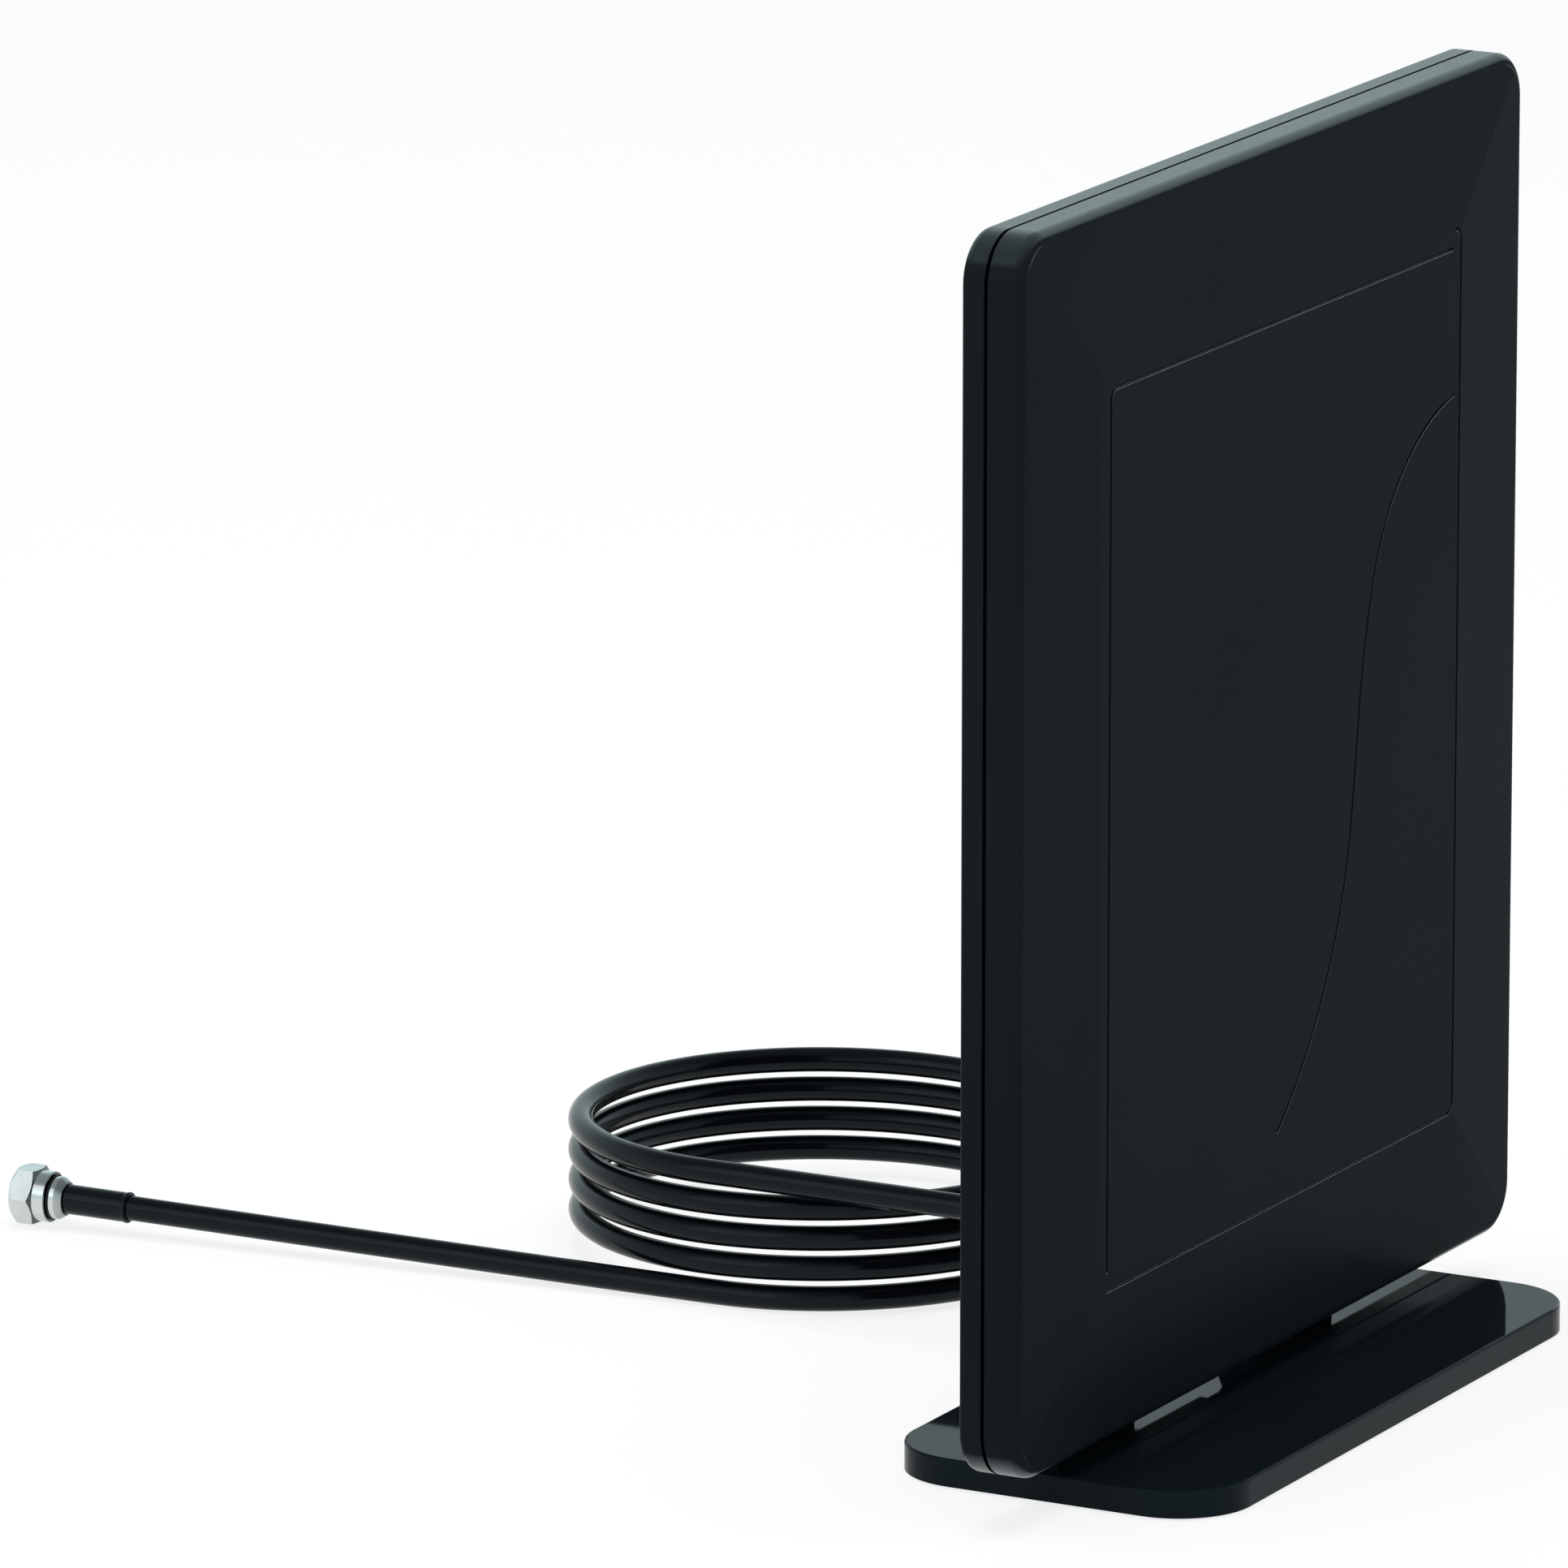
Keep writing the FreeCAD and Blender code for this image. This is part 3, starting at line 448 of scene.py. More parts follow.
class FinishNodes:
    """Small builder for one procedural finish on Object coordinates."""

    def __init__(self, name):
        self.material = bpy.data.materials.new(name)
        self.material.use_nodes = True
        self.nodes = self.material.node_tree.nodes
        self.links = self.material.node_tree.links
        self.shader = self.nodes["Principled BSDF"]
        self.place = self.nodes.new("ShaderNodeTexCoord").outputs["Object"]

    def set(self, **values):
        """Set constants straight on the shader's sockets, with spaces for underscores."""
        for name, value in values.items():
            self.shader.inputs[name.replace("_", " ")].default_value = value
        return self

    def noise(self, scale, detail=2.0, stretch=None):
        """Noise over the surface, stretched along an axis where a stretch is given."""
        node = self.nodes.new("ShaderNodeTexNoise")
        node.inputs["Scale"].default_value = scale
        node.inputs["Detail"].default_value = detail
        source = self.place
        if stretch is not None:
            mapping = self.nodes.new("ShaderNodeMapping")
            mapping.inputs["Scale"].default_value = stretch
            self.links.new(source, mapping.inputs["Vector"])
            source = mapping.outputs["Vector"]
        self.links.new(source, node.inputs["Vector"])
        return node.outputs["Fac"]

    def ramp(self, fac, low, high):
        """Two colours mixed by a pattern."""
        node = self.nodes.new("ShaderNodeValToRGB")
        first, last = node.color_ramp.elements
        first.position, last.position = PATTERN_SPAN
        first.color, last.color = (*low, 1.0), (*high, 1.0)
        self.links.new(fac, node.inputs["Fac"])
        return node.outputs["Color"]

    def span(self, fac, low, high, ends=PATTERN_SPAN):
        """A number that follows a pattern between two limits."""
        node = self.nodes.new("ShaderNodeMapRange")
        limits = {"From Min": ends[0], "From Max": ends[1], "To Min": low, "To Max": high}
        for name, value in limits.items():
            node.inputs[name].default_value = value
        self.links.new(fac, node.inputs["Value"])
        return node.outputs["Result"]

    def bump(self, height, strength, distance):
        """Fine relief from a pattern."""
        node = self.nodes.new("ShaderNodeBump")
        node.inputs["Strength"].default_value = strength
        node.inputs["Distance"].default_value = distance
        self.links.new(height, node.inputs["Height"])
        self.links.new(node.outputs["Normal"], self.shader.inputs["Normal"])
        return self

    def size_along(self, vector, axis):
        """Size, without its sign, of a vector's share along X, Y or Z."""
        split = self.nodes.new("ShaderNodeSeparateXYZ")
        size = self.nodes.new("ShaderNodeMath")
        size.operation = "ABSOLUTE"
        self.links.new(vector, split.inputs["Vector"])
        self.links.new(split.outputs[axis], size.inputs[0])
        return size.outputs["Value"]

    def levelness(self):
        """Nought where a face stands upright and one where it looks straight up or down."""
        geometry = self.nodes.new("ShaderNodeNewGeometry")
        return self.size_along(geometry.outputs["Normal"], "Z")

    def off_seam(self, width):
        """Nought in the seam of the two shells, at Y = 0, and one away from it."""
        edges = (SEAM_PAINTED_SPAN[0] * width, SEAM_PAINTED_SPAN[1] * width)
        return self.span(self.size_along(self.place, "Y"), 0.0, 1.0, edges)

    def product(self, first, second):
        """Two patterns multiplied."""
        node = self.nodes.new("ShaderNodeMath")
        node.operation = "MULTIPLY"
        self.links.new(first, node.inputs[0])
        self.links.new(second, node.inputs[1])
        return node.outputs["Value"]

    def facing(self, direction):
        """How far a face looks along a direction, from minus one to one."""
        geometry = self.nodes.new("ShaderNodeNewGeometry")
        along = self.nodes.new("ShaderNodeVectorMath")
        along.operation = "DOT_PRODUCT"
        along.inputs[1].default_value = direction
        self.links.new(geometry.outputs["Normal"], along.inputs[0])
        return along.outputs["Value"]

    def raised_lips(self, radius):
        """Nought on plain faces, more at an edge whose rounding turns the surface upwards."""
        rounding = self.nodes.new("ShaderNodeBevel")
        rounding.samples = LIP_SAMPLES
        rounding.inputs["Radius"].default_value = radius
        geometry = self.nodes.new("ShaderNodeNewGeometry")
        heights = []
        for normal in (rounding.outputs["Normal"], geometry.outputs["Normal"]):
            split = self.nodes.new("ShaderNodeSeparateXYZ")
            self.links.new(normal, split.inputs["Vector"])
            heights.append(split.outputs["Z"])
        rise = self.nodes.new("ShaderNodeMath")
        rise.operation = "SUBTRACT"
        self.links.new(heights[0], rise.inputs[0])
        self.links.new(heights[1], rise.inputs[1])
        return rise.outputs["Value"]

    def blend(self, share, first, second):
        """A first colour that turns into a second one where a pattern rises."""
        node = self.nodes.new("ShaderNodeMix")
        node.data_type = "RGBA"
        node.inputs["B"].default_value = (*second, 1.0)
        self.links.new(share, node.inputs["Factor"])
        self.links.new(first, node.inputs["A"])
        return node.outputs["Result"]

    def colour(self, output):
        """Link a pattern to the base colour."""
        self.links.new(output, self.shader.inputs["Base Color"])
        return self

    def mottle(self, pattern, colour, dark, light):
        """A colour that a pattern makes darker and lighter."""
        return self.ramp(pattern, shade(colour, dark), shade(colour, light))

    def uneven(self, pattern, roughness, below, above):
        """Let the roughness follow a pattern from a little below its level to a little above."""
        value = self.span(pattern, roughness - below, roughness + above)
        self.links.new(value, self.shader.inputs["Roughness"])
        return self


def seen_rays(nodes, links):
    """One where a surface is seen directly, in a reflection or through glass, and nought elsewhere."""
    path = nodes.new("ShaderNodeLightPath")
    seen = path.outputs["Is Camera Ray"]
    for name in ("Is Glossy Ray", "Is Transmission Ray"):
        either = nodes.new("ShaderNodeMath")
        either.operation = "MAXIMUM"
        links.new(seen, either.inputs[0])
        links.new(path.outputs[name], either.inputs[1])
        seen = either.outputs["Value"]
    return seen


def shade(colour, factor):
    """A colour made lighter or darker."""
    return tuple(channel * factor for channel in colour)


def satin_grain(finish, colour, roughness):
    """Give a finish its fine spark-eroded grain and return its colour with a faint flow tone."""
    flow = finish.noise(FLOW_SCALE, detail=3.0)
    grain = finish.noise(GRAIN_SCALE)
    finish.uneven(grain, roughness, below=0.04, above=0.05)
    finish.bump(grain, strength=0.08, distance=0.05 * MM)
    return finish.mottle(flow, colour, dark=0.88, light=1.12)


def satin_plastic(name, colour, roughness):
    """Moulded plastic with a satin surface."""
    finish = FinishNodes(name).set(Specular_Tint=COOL_TINT)
    return finish.colour(satin_grain(finish, colour, roughness)).material


def panel_plastic(name, settings):
    """Satin plastic, glossier where it lies level, with a painted highlight on edges that look upwards and
    painted shade in the seam.
    """
    finish = FinishNodes(name).set(Specular_Tint=COOL_TINT)
    plain = satin_grain(finish, settings.panel_colour, settings.panel_roughness)
    # Painted highlight: edges whose rounding turns upwards are blended towards the pale lip highlight
    # colour
    lip_highlight = finish.span(finish.raised_lips(settings.lip_highlight_width), 0.0, 1.0, LIP_HIGHLIGHT_SPAN)
    lip_highlighted = finish.blend(lip_highlight, plain, settings.lip_highlight_colour)
    # Painted shade: the seam's colour is darkened and its gloss taken away
    clear = finish.off_seam(settings.seam_shade_width)
    inside = finish.span(clear, 1.0, 0.0, (0.0, 1.0))
    finish.colour(finish.blend(inside, lip_highlighted, shade(settings.panel_colour, SEAM_PAINTED_DARKNESS)))
    gloss = finish.span(finish.levelness(), settings.upright_gloss, settings.level_gloss, GLOSS_SPAN)
    finish.links.new(finish.product(gloss, clear), finish.shader.inputs["Specular IOR Level"])
    return finish.material


def polished_plastic(name, colour, roughness):
    """Polished plastic with a mirror surface and faint wipe marks."""
    finish = FinishNodes(name).set(IOR=STAND_IOR, Specular_Tint=COOL_TINT)
    wipe = finish.noise(WIPE_SCALE, detail=4.0, stretch=(1.0, 3.0, 1.0))
    finish.colour(finish.mottle(wipe, colour, dark=1.0, light=1.2))
    return finish.uneven(wipe, roughness, below=0.0, above=0.02).material


def cable_jacket(name, colour, roughness):
    """Extruded jacket with a smooth gloss and a slightly uneven skin."""
    finish = FinishNodes(name).set(IOR=JACKET_IOR, Specular_Tint=COOL_TINT)
    skin = finish.noise(SKIN_SCALE, detail=3.0)
    tone = finish.noise(JACKET_SCALE)
    finish.colour(finish.mottle(tone, colour, dark=0.9, light=1.15))
    finish.uneven(skin, roughness, below=0.03, above=0.05)
    return finish.bump(skin, strength=0.04, distance=0.1 * MM).material


def matte_rubber(name, colour, roughness):
    """Matte rubber with a powdery skin."""
    finish = FinishNodes(name).set(IOR=RUBBER_IOR)
    skin = finish.noise(POWDER_SCALE, detail=3.0)
    finish.colour(finish.mottle(skin, colour, dark=0.8, light=1.25))
    finish.uneven(skin, roughness, below=0.08, above=0.08)
    return finish.bump(skin, strength=0.12, distance=0.06 * MM).material


def plated_metal(name, colour, roughness, stretch=(1.0, 1.0, 1.0), shaded_side=None):
    """Plated or rolled metal with fine tool marks, with painted shade on faces that look towards a given
    side.
    """
    finish = FinishNodes(name).set(Metallic=1.0)
    marks = finish.noise(MARK_SCALE, detail=3.0, stretch=stretch)
    plating = finish.mottle(finish.noise(PLATING_SCALE), colour, dark=0.94, light=1.05)
    if shaded_side is not None:
        # Painted shade: faces that look towards the given side are darkened in colour
        side_shade = finish.span(finish.facing(shaded_side), 0.0, 1.0, SHADED_SIDE_SPAN)
        plating = finish.blend(side_shade, plating, shade(colour, SHADED_SIDE_DARKNESS))
    finish.colour(plating)
    finish.uneven(marks, roughness, below=0.05, above=0.07)
    return finish.bump(marks, strength=0.03, distance=0.03 * MM).material


def circuit_board(name, colour, roughness):
    """Green resist over woven board, with the weave showing faintly."""
    finish = FinishNodes(name).set(IOR=BOARD_IOR)
    weave = finish.noise(WEAVE_SCALE, detail=1.0, stretch=(1.0, 1.0, 4.0))
    finish.colour(finish.mottle(weave, colour, dark=0.85, light=1.15))
    finish.uneven(weave, roughness, below=0.06, above=0.06)
    return finish.bump(weave, strength=0.05, distance=0.04 * MM).material


def coil_centre(shape):
    """Middle of the coil, seen from above."""
    return COIL_START[:2] + np.array([shape.coil_radius, 0.0])


def coil_degrees(shape):
    """How far the cord goes round the coil, in degrees."""
    return 360.0 * shape.turns - (COIL_LEAVE_DEGREES - 180.0)


def coil_leave_point():
    """Where the run to the connector leaves the lowest turn, on the table."""
    shape = bpy.context.scene.antenna_cord
    angle = math.radians(COIL_LEAVE_DEGREES)
    reach = shape.coil_radius * np.array([math.cos(angle), math.sin(angle)])
    return np.append(coil_centre(shape) + reach, shape.diameter / 2)


def run_direction():
    """Unit vector along the run, which is also the connector's axis."""
    along = RUN_END - coil_leave_point()
    return along / np.linalg.norm(along)


def connector_place():
    """Start, axis and cross directions of the connector."""
    return axis_place(RUN_END, run_direction())


def cord_route():
    """Control points of the cord.

    The coil's points stand on a circle widened by 1 / cos(half a step), so that the middle of each side of
    their polygon touches the true circle. They go clockwise seen from above while the height falls evenly.
    The first of them lies on the straight lead and the last on the run.
    """
    shape = bpy.context.scene.antenna_cord
    centre = coil_centre(shape)
    count = shape.turns * shape.points_per_turn
    step = coil_degrees(shape) / count
    index = np.arange(count + 2)
    angle = np.radians(180.0 - (index - 0.5) * step)
    reach = shape.coil_radius / math.cos(math.radians(step / 2))
    fall = np.clip((index - 0.5) / count, 0.0, 1.0)
    height = COIL_START[2] + (shape.diameter / 2 - COIL_START[2]) * fall
    turns = np.column_stack((centre[0] + reach * np.cos(angle), centre[1] + reach * np.sin(angle), height))
    end = RUN_END + run_direction() * SLEEVE_END
    return np.vstack((CORD_EXIT, turns, end))


class ANTENNA_OT_cord(bpy.types.Operator):
    """Lay the coaxial cord from the panel, through its coil, to the connector"""

    bl_idname = "antenna.cord"
    bl_label = "Cord"

    def execute(self, context):
        shape = context.scene.antenna_cord
        route = cord_route()
        curve = bpy.data.curves.new("coaxial_cord", "CURVE")
        curve.dimensions = "3D"
        curve.bevel_depth = shape.diameter / 2
        curve.bevel_resolution = CURVE_STEPS
        curve.resolution_u = CURVE_STEPS
        curve.use_fill_caps = True
        spline = curve.splines.new("NURBS")
        spline.points.add(len(route) - 1)
        weighted = np.column_stack((route, np.ones(len(route))))
        spline.points.foreach_set("co", weighted.ravel())
        spline.order_u = 3
        spline.use_endpoint_u = True
        jacket = cable_jacket("cable_jacket", shape.colour, shape.roughness)
        cord = add_piece("coaxial_cord", curve, jacket, ANTENNA_BODY,
                         ("cord_lead", "cord_coil", "cord_run"))
        on_cord = [bpy.data.objects[name] for name in CONNECTOR_PIECES]
        on_cord += [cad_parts[name] for name in CONNECTOR_NODES]
        return {"FINISHED"}


def nut_points(shape):
    """Hexagon nut with a collar, chamfered ends and a thread, as one grid that closes both ways.

    Outside: radius = the smaller of flat / cos(angle from the nearest flat's middle) and a limit that rises
    at the back chamfer's slope and falls at 45 degrees at the front. Thread: radius = root - depth * a
    triangle wave of (station / pitch - angle / full turn), faded out at both ends.
    """
    flat = shape.across_flats / 2
    corner = flat / math.cos(HEX_STEP / 2)
    slope = math.tan(math.radians(NUT_BACK_CHAMFER))
    angle = np.linspace(0.0, 2 * math.pi, NUT_SEGMENTS, endpoint=False)
    around = np.mod(angle, HEX_STEP) - HEX_STEP / 2
    hexagon = flat / np.cos(around)
    collar = shape.collar_radius
    back_rise = (corner - collar) * slope
    front_fall = corner - shape.front_radius
    back_station = np.linspace(HEX_START, HEX_START + back_rise, NUT_BACK_STEPS)
    front_station = np.linspace(NUT_END - front_fall, NUT_END - NUT_EDGE / 2, NUT_FRONT_STEPS)
    collar_station = [COLLAR_START, COLLAR_START + NUT_EDGE, HEX_START - NUT_EDGE]
    outer_station = np.concatenate((collar_station, back_station, front_station))
    limit = np.interp(outer_station, [HEX_START, HEX_START + back_rise, NUT_END - front_fall, NUT_END],
                      [collar, corner, corner, shape.front_radius])
    outer = np.minimum(hexagon[None, :], limit[:, None])
    outer[:len(collar_station)] = np.array([collar - NUT_EDGE, collar, collar])[:, None]
    bore_station = np.linspace(NUT_END, NUT_WALL_END, THREAD_STEPS)
    phase = bore_station[:, None] / shape.thread_pitch - angle[None, :] / (2 * math.pi)
    wave = 1.0 - 2.0 * np.abs(np.mod(phase, 1.0) - 0.5)
    fade = np.minimum((NUT_END - bore_station) / shape.thread_pitch, 1.0)
    fade = fade * np.minimum((bore_station - NUT_WALL_END) / shape.thread_pitch, 1.0)
    bore = shape.thread_radius - shape.thread_depth * wave * fade[:, None]
    hole = np.full((2, NUT_SEGMENTS), NUT_HOLE)
    rim = np.full((1, NUT_SEGMENTS), shape.front_radius - NUT_EDGE)
    radius = np.vstack((outer, rim, bore, hole))
    station = np.concatenate((outer_station, [NUT_END], bore_station, [NUT_WALL_END, COLLAR_START]))
    station = np.repeat(station[:, None], NUT_SEGMENTS, axis=1)
    turned = np.repeat(angle[None, :] + shape.nut_turn, len(radius), axis=0)
    return swept_round(radius, station, turned, connector_place())


class ANTENNA_OT_connector(bpy.types.Operator):
    """Build the sleeve, ferrule, ring and threaded nut of the connector"""

    bl_idname = "antenna.connector"
    bl_label = "Connector"

    def execute(self, context):
        shape = context.scene.antenna_connector
        jacket_colour = context.scene.antenna_cord.colour
        cord_radius = context.scene.antenna_cord.diameter / 2
        place = connector_place()
        cable_side = tuple(-run_direction())
        # Painted shade: nickel faces that look back along the cord are darkened in colour
        nickel = plated_metal("bright_nickel", shape.metal, roughness=0.2, shaded_side=cable_side)
        jacket = cable_jacket("sleeve_skin", shade(jacket_colour, 1.1), roughness=0.16)
        ring_rubber = matte_rubber("ring_rubber", SEAL_BLACK, roughness=0.5)

        outer = shape.sleeve_radius
        band = outer + BAND_RISE
        sleeve = [(cord_radius, 0.0), (band, 0.0), (band, BAND_END), (outer, BAND_FOOT),
                  (outer, SLEEVE_END), (cord_radius, SLEEVE_END)]
        mesh = turned_mesh("shrunk_sleeve", soft_corners(sleeve, SLEEVE_ROUND), place, sharp=TURNED_EDGE)
        add_piece("shrunk_sleeve", mesh, jacket, ANTENNA_BODY, ("cable_sleeve",))

        cup_floor = SLEEVE_END + FERRULE_FLOOR
        ferrule = [(FERRULE_BORE, SLEEVE_END), (FERRULE_NECK, SLEEVE_END), (FERRULE_RADIUS, CONE_END),
                   (FERRULE_RADIUS, FERRULE_END), (FERRULE_CUP, FERRULE_END), (FERRULE_CUP, cup_floor),
                   (FERRULE_BORE, cup_floor)]
        mesh = turned_mesh("turned_ferrule", soft_corners(ferrule, FERRULE_ROUND), place, sharp=TURNED_EDGE)
        add_piece("turned_ferrule", mesh, nickel, ANTENNA_BODY, ("crimp_ferrule",))

        ring = [(FERRULE_CUP, FERRULE_END), (SEAL_RADIUS, FERRULE_END), (SEAL_RADIUS, SEAL_END),
                (FERRULE_CUP, SEAL_END)]
        mesh = turned_mesh("rubber_ring", soft_corners(ring, SEAL_ROUND), place, sharp=TURNED_EDGE)
        add_piece("rubber_ring", mesh, ring_rubber, ANTENNA_BODY, ("seal_ring",))

        mesh = grid_mesh("threaded_nut", nut_points(shape), wrap_rows=True, sharp=NUT_EDGE_ANGLE)
        add_piece("threaded_nut", mesh, nickel, NUT_BODY, ("coupling_nut",))

        dress_node("connector_post", nickel)
        dress_node("dielectric_core", satin_plastic("foam_core", FOAM_WHITE, roughness=0.6))
        dress_node("centre_pin", plated_metal("bare_copper", WIRE_COPPER, roughness=0.22))
        return {"FINISHED"}


def relief_profile(cord_radius, start, tip):
    """Half section of the strain relief as (radius, station) pairs, from inside the panel to its tip.

    Radius outside = cone - depth * (1 - wave) / 2 * fade. The cone falls evenly from root to tip, the wave
    is a clipped sine of (station / pitch), and the fade is one along the relief and nought at its tip.
    """
    back = CORD_EXIT[1]
    station = np.linspace(back, tip, RIB_STEPS)
    share = (station - back) / (tip - back)
    cone = RELIEF_ROOT + (RELIEF_TIP - RELIEF_ROOT) * share
    wave = np.clip(np.sin(2 * math.pi * (station - back) / RIB_PITCH - RIB_PHASE) * RIB_FLATNESS, -1.0, 1.0)
    fade = np.clip((1.0 - share) * RIB_FADE, 0.0, 1.0)
    ribs = cone - RIB_DEPTH * (0.5 - 0.5 * wave) * fade
    inside = back - PANEL_WALL
    inner = [(cord_radius, start), (RELIEF_FLANGE, start), (RELIEF_FLANGE, inside), (RELIEF_NECK, inside),
             (RELIEF_NECK, back)]
    return np.vstack((inner, np.column_stack((ribs, station)), [(cord_radius, tip)]))


class ANTENNA_OT_strain_relief(bpy.types.Operator):
    """Build the ribbed strain relief where the cord leaves the panel"""

    bl_idname = "antenna.strain_relief"
    bl_label = "Strain relief"

    def execute(self, context):
        cord_radius = context.scene.antenna_cord.diameter / 2
        low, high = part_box("cable_gland")
        place = axis_place((CORD_EXIT[0], 0.0, CORD_EXIT[2]), Y_AXIS)
        profile = relief_profile(cord_radius, low.y, high.y)
        mesh = turned_mesh("ribbed_relief", profile, place, sharp=RIB_EDGE)
        rubber = matte_rubber("relief_rubber", RELIEF_BLACK, roughness=0.55)
        add_piece("ribbed_relief", mesh, rubber, ANTENNA_BODY, ("cable_gland",))
        return {"FINISHED"}


def cross_cutter(place, radius, shape):
    """Two tapered arms at right angles: a plus sign that narrows towards the recess's floor."""
    start, axis, side, other = place
    half = shape.arm_width * radius / 2
    reach = shape.arm_reach * radius
    depth = RECESS_DEPTH_SHARE * radius
    outline = np.array([(reach, -half), (reach, half), (half, half), (half, reach),
                        (-half, reach), (-half, half), (-reach, half), (-reach, -half),
                        (-half, -half), (-half, -reach), (half, -reach), (half, -half)])
    count = len(outline)
    levels = np.array([-depth, depth])
    flat = outline[None] * np.array(RECESS_TAPER)[:, None, None]
    points = start + levels[:, None, None] * axis + flat[..., :1] * side + flat[..., 1:] * other
    ends = [list(range(count))[::-1], list(range(count, 2 * count))]
    mesh = bpy.data.meshes.new("cross_cutter")
    mesh.from_pydata(points.reshape(-1, 3).tolist(), [], grid_faces(2, count).tolist() + ends)
    return clean_mesh(mesh, CUTTER_EDGE)


def screw_mesh(name, axis, size, length, shape):
    """Screw along an axis with the top of its head at the origin and a cross recess cut in.

    The head's top falls from its middle by crown * (radius / head radius)^2.
    """
    place = axis_place((0.0, 0.0, 0.0), axis)
    across = np.linspace(size.head_radius, 0.0, CROWN_STEPS)
    crown = -shape.crown * (across / size.head_radius) ** 2
    shank = size.shank_radius
    tip = [(0.0, -length), (shank * SCREW_TIP_SHARE, -length), (shank, -length + shank)]
    under = [(shank, -size.head_height), (size.head_radius, -size.head_height)]
    profile = np.vstack((tip, under, np.column_stack((across, crown))))
    body = turned_mesh(name, profile, place, segments=SCREW_SEGMENTS, closed=False)
    return carve(body, cross_cutter(place, size.head_radius, shape))


class ANTENNA_OT_screws(bpy.types.Operator):
    """Build the cross-recessed screws of the back, the brackets and the base"""

    bl_idname = "antenna.screws"
    bl_label = "Screws"

    def execute(self, context):
        shape = context.scene.antenna_fastener
        steel = plated_metal("zinc_steel", ZINC_GREY, roughness=0.3)
        dark = plated_metal("black_zinc", ZINC_BLACK, roughness=0.34)
        low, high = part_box("back_shell")
        sides = (low.x + SHELL_SCREW_SIDE_INSET, high.x - SHELL_SCREW_SIDE_INSET)
        levels = (low.z + SHELL_SCREW_END_INSET, (low.z + high.z) / 2, high.z - SHELL_SCREW_END_INSET)
        places = [(x, high.y, z) for x in sides for z in levels]
        one = screw_mesh("shell_screw", Y_AXIS, SHELL_SCREW, SHELL_SCREW_LENGTH, shape)
        add_piece("back_screws", repeated_mesh("back_screws", one, places), dark, ANTENNA_BODY,
                  ("shell_screws",))

        low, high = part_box("bracket_screws")
        level = (low.z + high.z) / 2
        places = [(side * x, high.y, level) for side in (-1, 1) for x in BRACKET_SCREW_X]
        one = screw_mesh("bracket_screw", Y_AXIS, BRACKET_SCREW, high.y - low.y, shape)
        add_piece("bracket_bolts", repeated_mesh("bracket_bolts", one, places), dark, ANTENNA_BODY,
                  ("bracket_screws",))

        low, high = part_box("base_screws")
        places = [(x * BASE_SCREW_X, y * BASE_SCREW_Y, low.z) for x in (-1, 1) for y in (-1, 1)]
        one = screw_mesh("base_screw", -Z_AXIS, BASE_SCREW, high.z - low.z, shape)
        add_piece("cover_screws", repeated_mesh("cover_screws", one, places), steel, ANTENNA_BODY,
                  ("base_screws",))
        dress_node("board_screws", steel)
        return {"FINISHED"}


class ANTENNA_OT_feet(bpy.types.Operator):
    """Build the four rounded foot pads"""

    bl_idname = "antenna.feet"
    bl_label = "Foot pads"

    def execute(self, context):
        soft = context.scene.antenna_fastener.foot_round
        names = ("foot_front_left", "foot_front_right", "foot_rear_left", "foot_rear_right")
        boxes = [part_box(name) for name in names]
        low, high = boxes[0]
        radius = (high.x - low.x) / 2
        height = high.z - low.z
        bend = np.linspace(0.0, math.pi / 2, ROUND_STEPS)
        rim = np.column_stack((radius - soft + soft * np.sin(bend), soft - soft * np.cos(bend)))
        profile = np.vstack(([(0.0, 0.0)], rim, [(radius, height), (0.0, height)]))
        pad = turned_mesh("foot_pad", profile, axis_place((0.0, 0.0, 0.0), Z_AXIS), closed=False)
        shifts = [((a.x + b.x) / 2, (a.y + b.y) / 2, a.z) for a, b in boxes]
        rubber = matte_rubber("foot_rubber", FOOT_BLACK, roughness=0.7)
        add_piece("foot_pads", repeated_mesh("foot_pads", pad, shifts), rubber, ANTENNA_BODY,
                  names)
        return {"FINISHED"}


class ANTENNA_OT_mouldings(bpy.types.Operator):
    """Finish the panel's two shells, the stand and its cover"""

    bl_idname = "antenna.mouldings"
    bl_label = "Panel and stand"

    def execute(self, context):
        finish = context.scene.antenna_finish
        panel = panel_plastic("satin_panel", finish)
        stand = polished_plastic("polished_stand", finish.stand_colour, finish.stand_roughness)
        for name in ("front_shell", "back_shell"):
            dress_node(name, panel)
        dress_node("stand_base", stand)
        dress_node("base_cover", satin_plastic("cover_plastic", COVER_BLACK, roughness=0.5))
        return {"FINISHED"}


class ANTENNA_OT_inner_parts(bpy.types.Operator):
    """Finish the boards, foils, transformer and ballast inside"""

    bl_idname = "antenna.inner_parts"
    bl_label = "Inner parts"

    def execute(self, context):
        board = circuit_board("board_resist", BOARD_GREEN, roughness=0.36)
        foil = plated_metal("copper_foil", FOIL_COPPER, roughness=0.26, stretch=ROLLED_ALONG_Z)
        can = plated_metal("tinned_sheet", TIN_GREY, roughness=0.32, stretch=ROLLED_ALONG_X)
        plate = plated_metal("rolled_plate", PLATE_GREY, roughness=0.38, stretch=ROLLED_ALONG_X)
        for name in ("element_board", "matching_board"):
            dress_node(name, board)
        for name in ("foil_element_left", "foil_element_right"):
            dress_node(name, foil)
        dress_node("shield_can", can)
        dress_node("balun_core", matte_rubber("ferrite_core", FERRITE_GREY, roughness=0.6))
        dress_node("ballast_plate", plate)
        return {"FINISHED"}


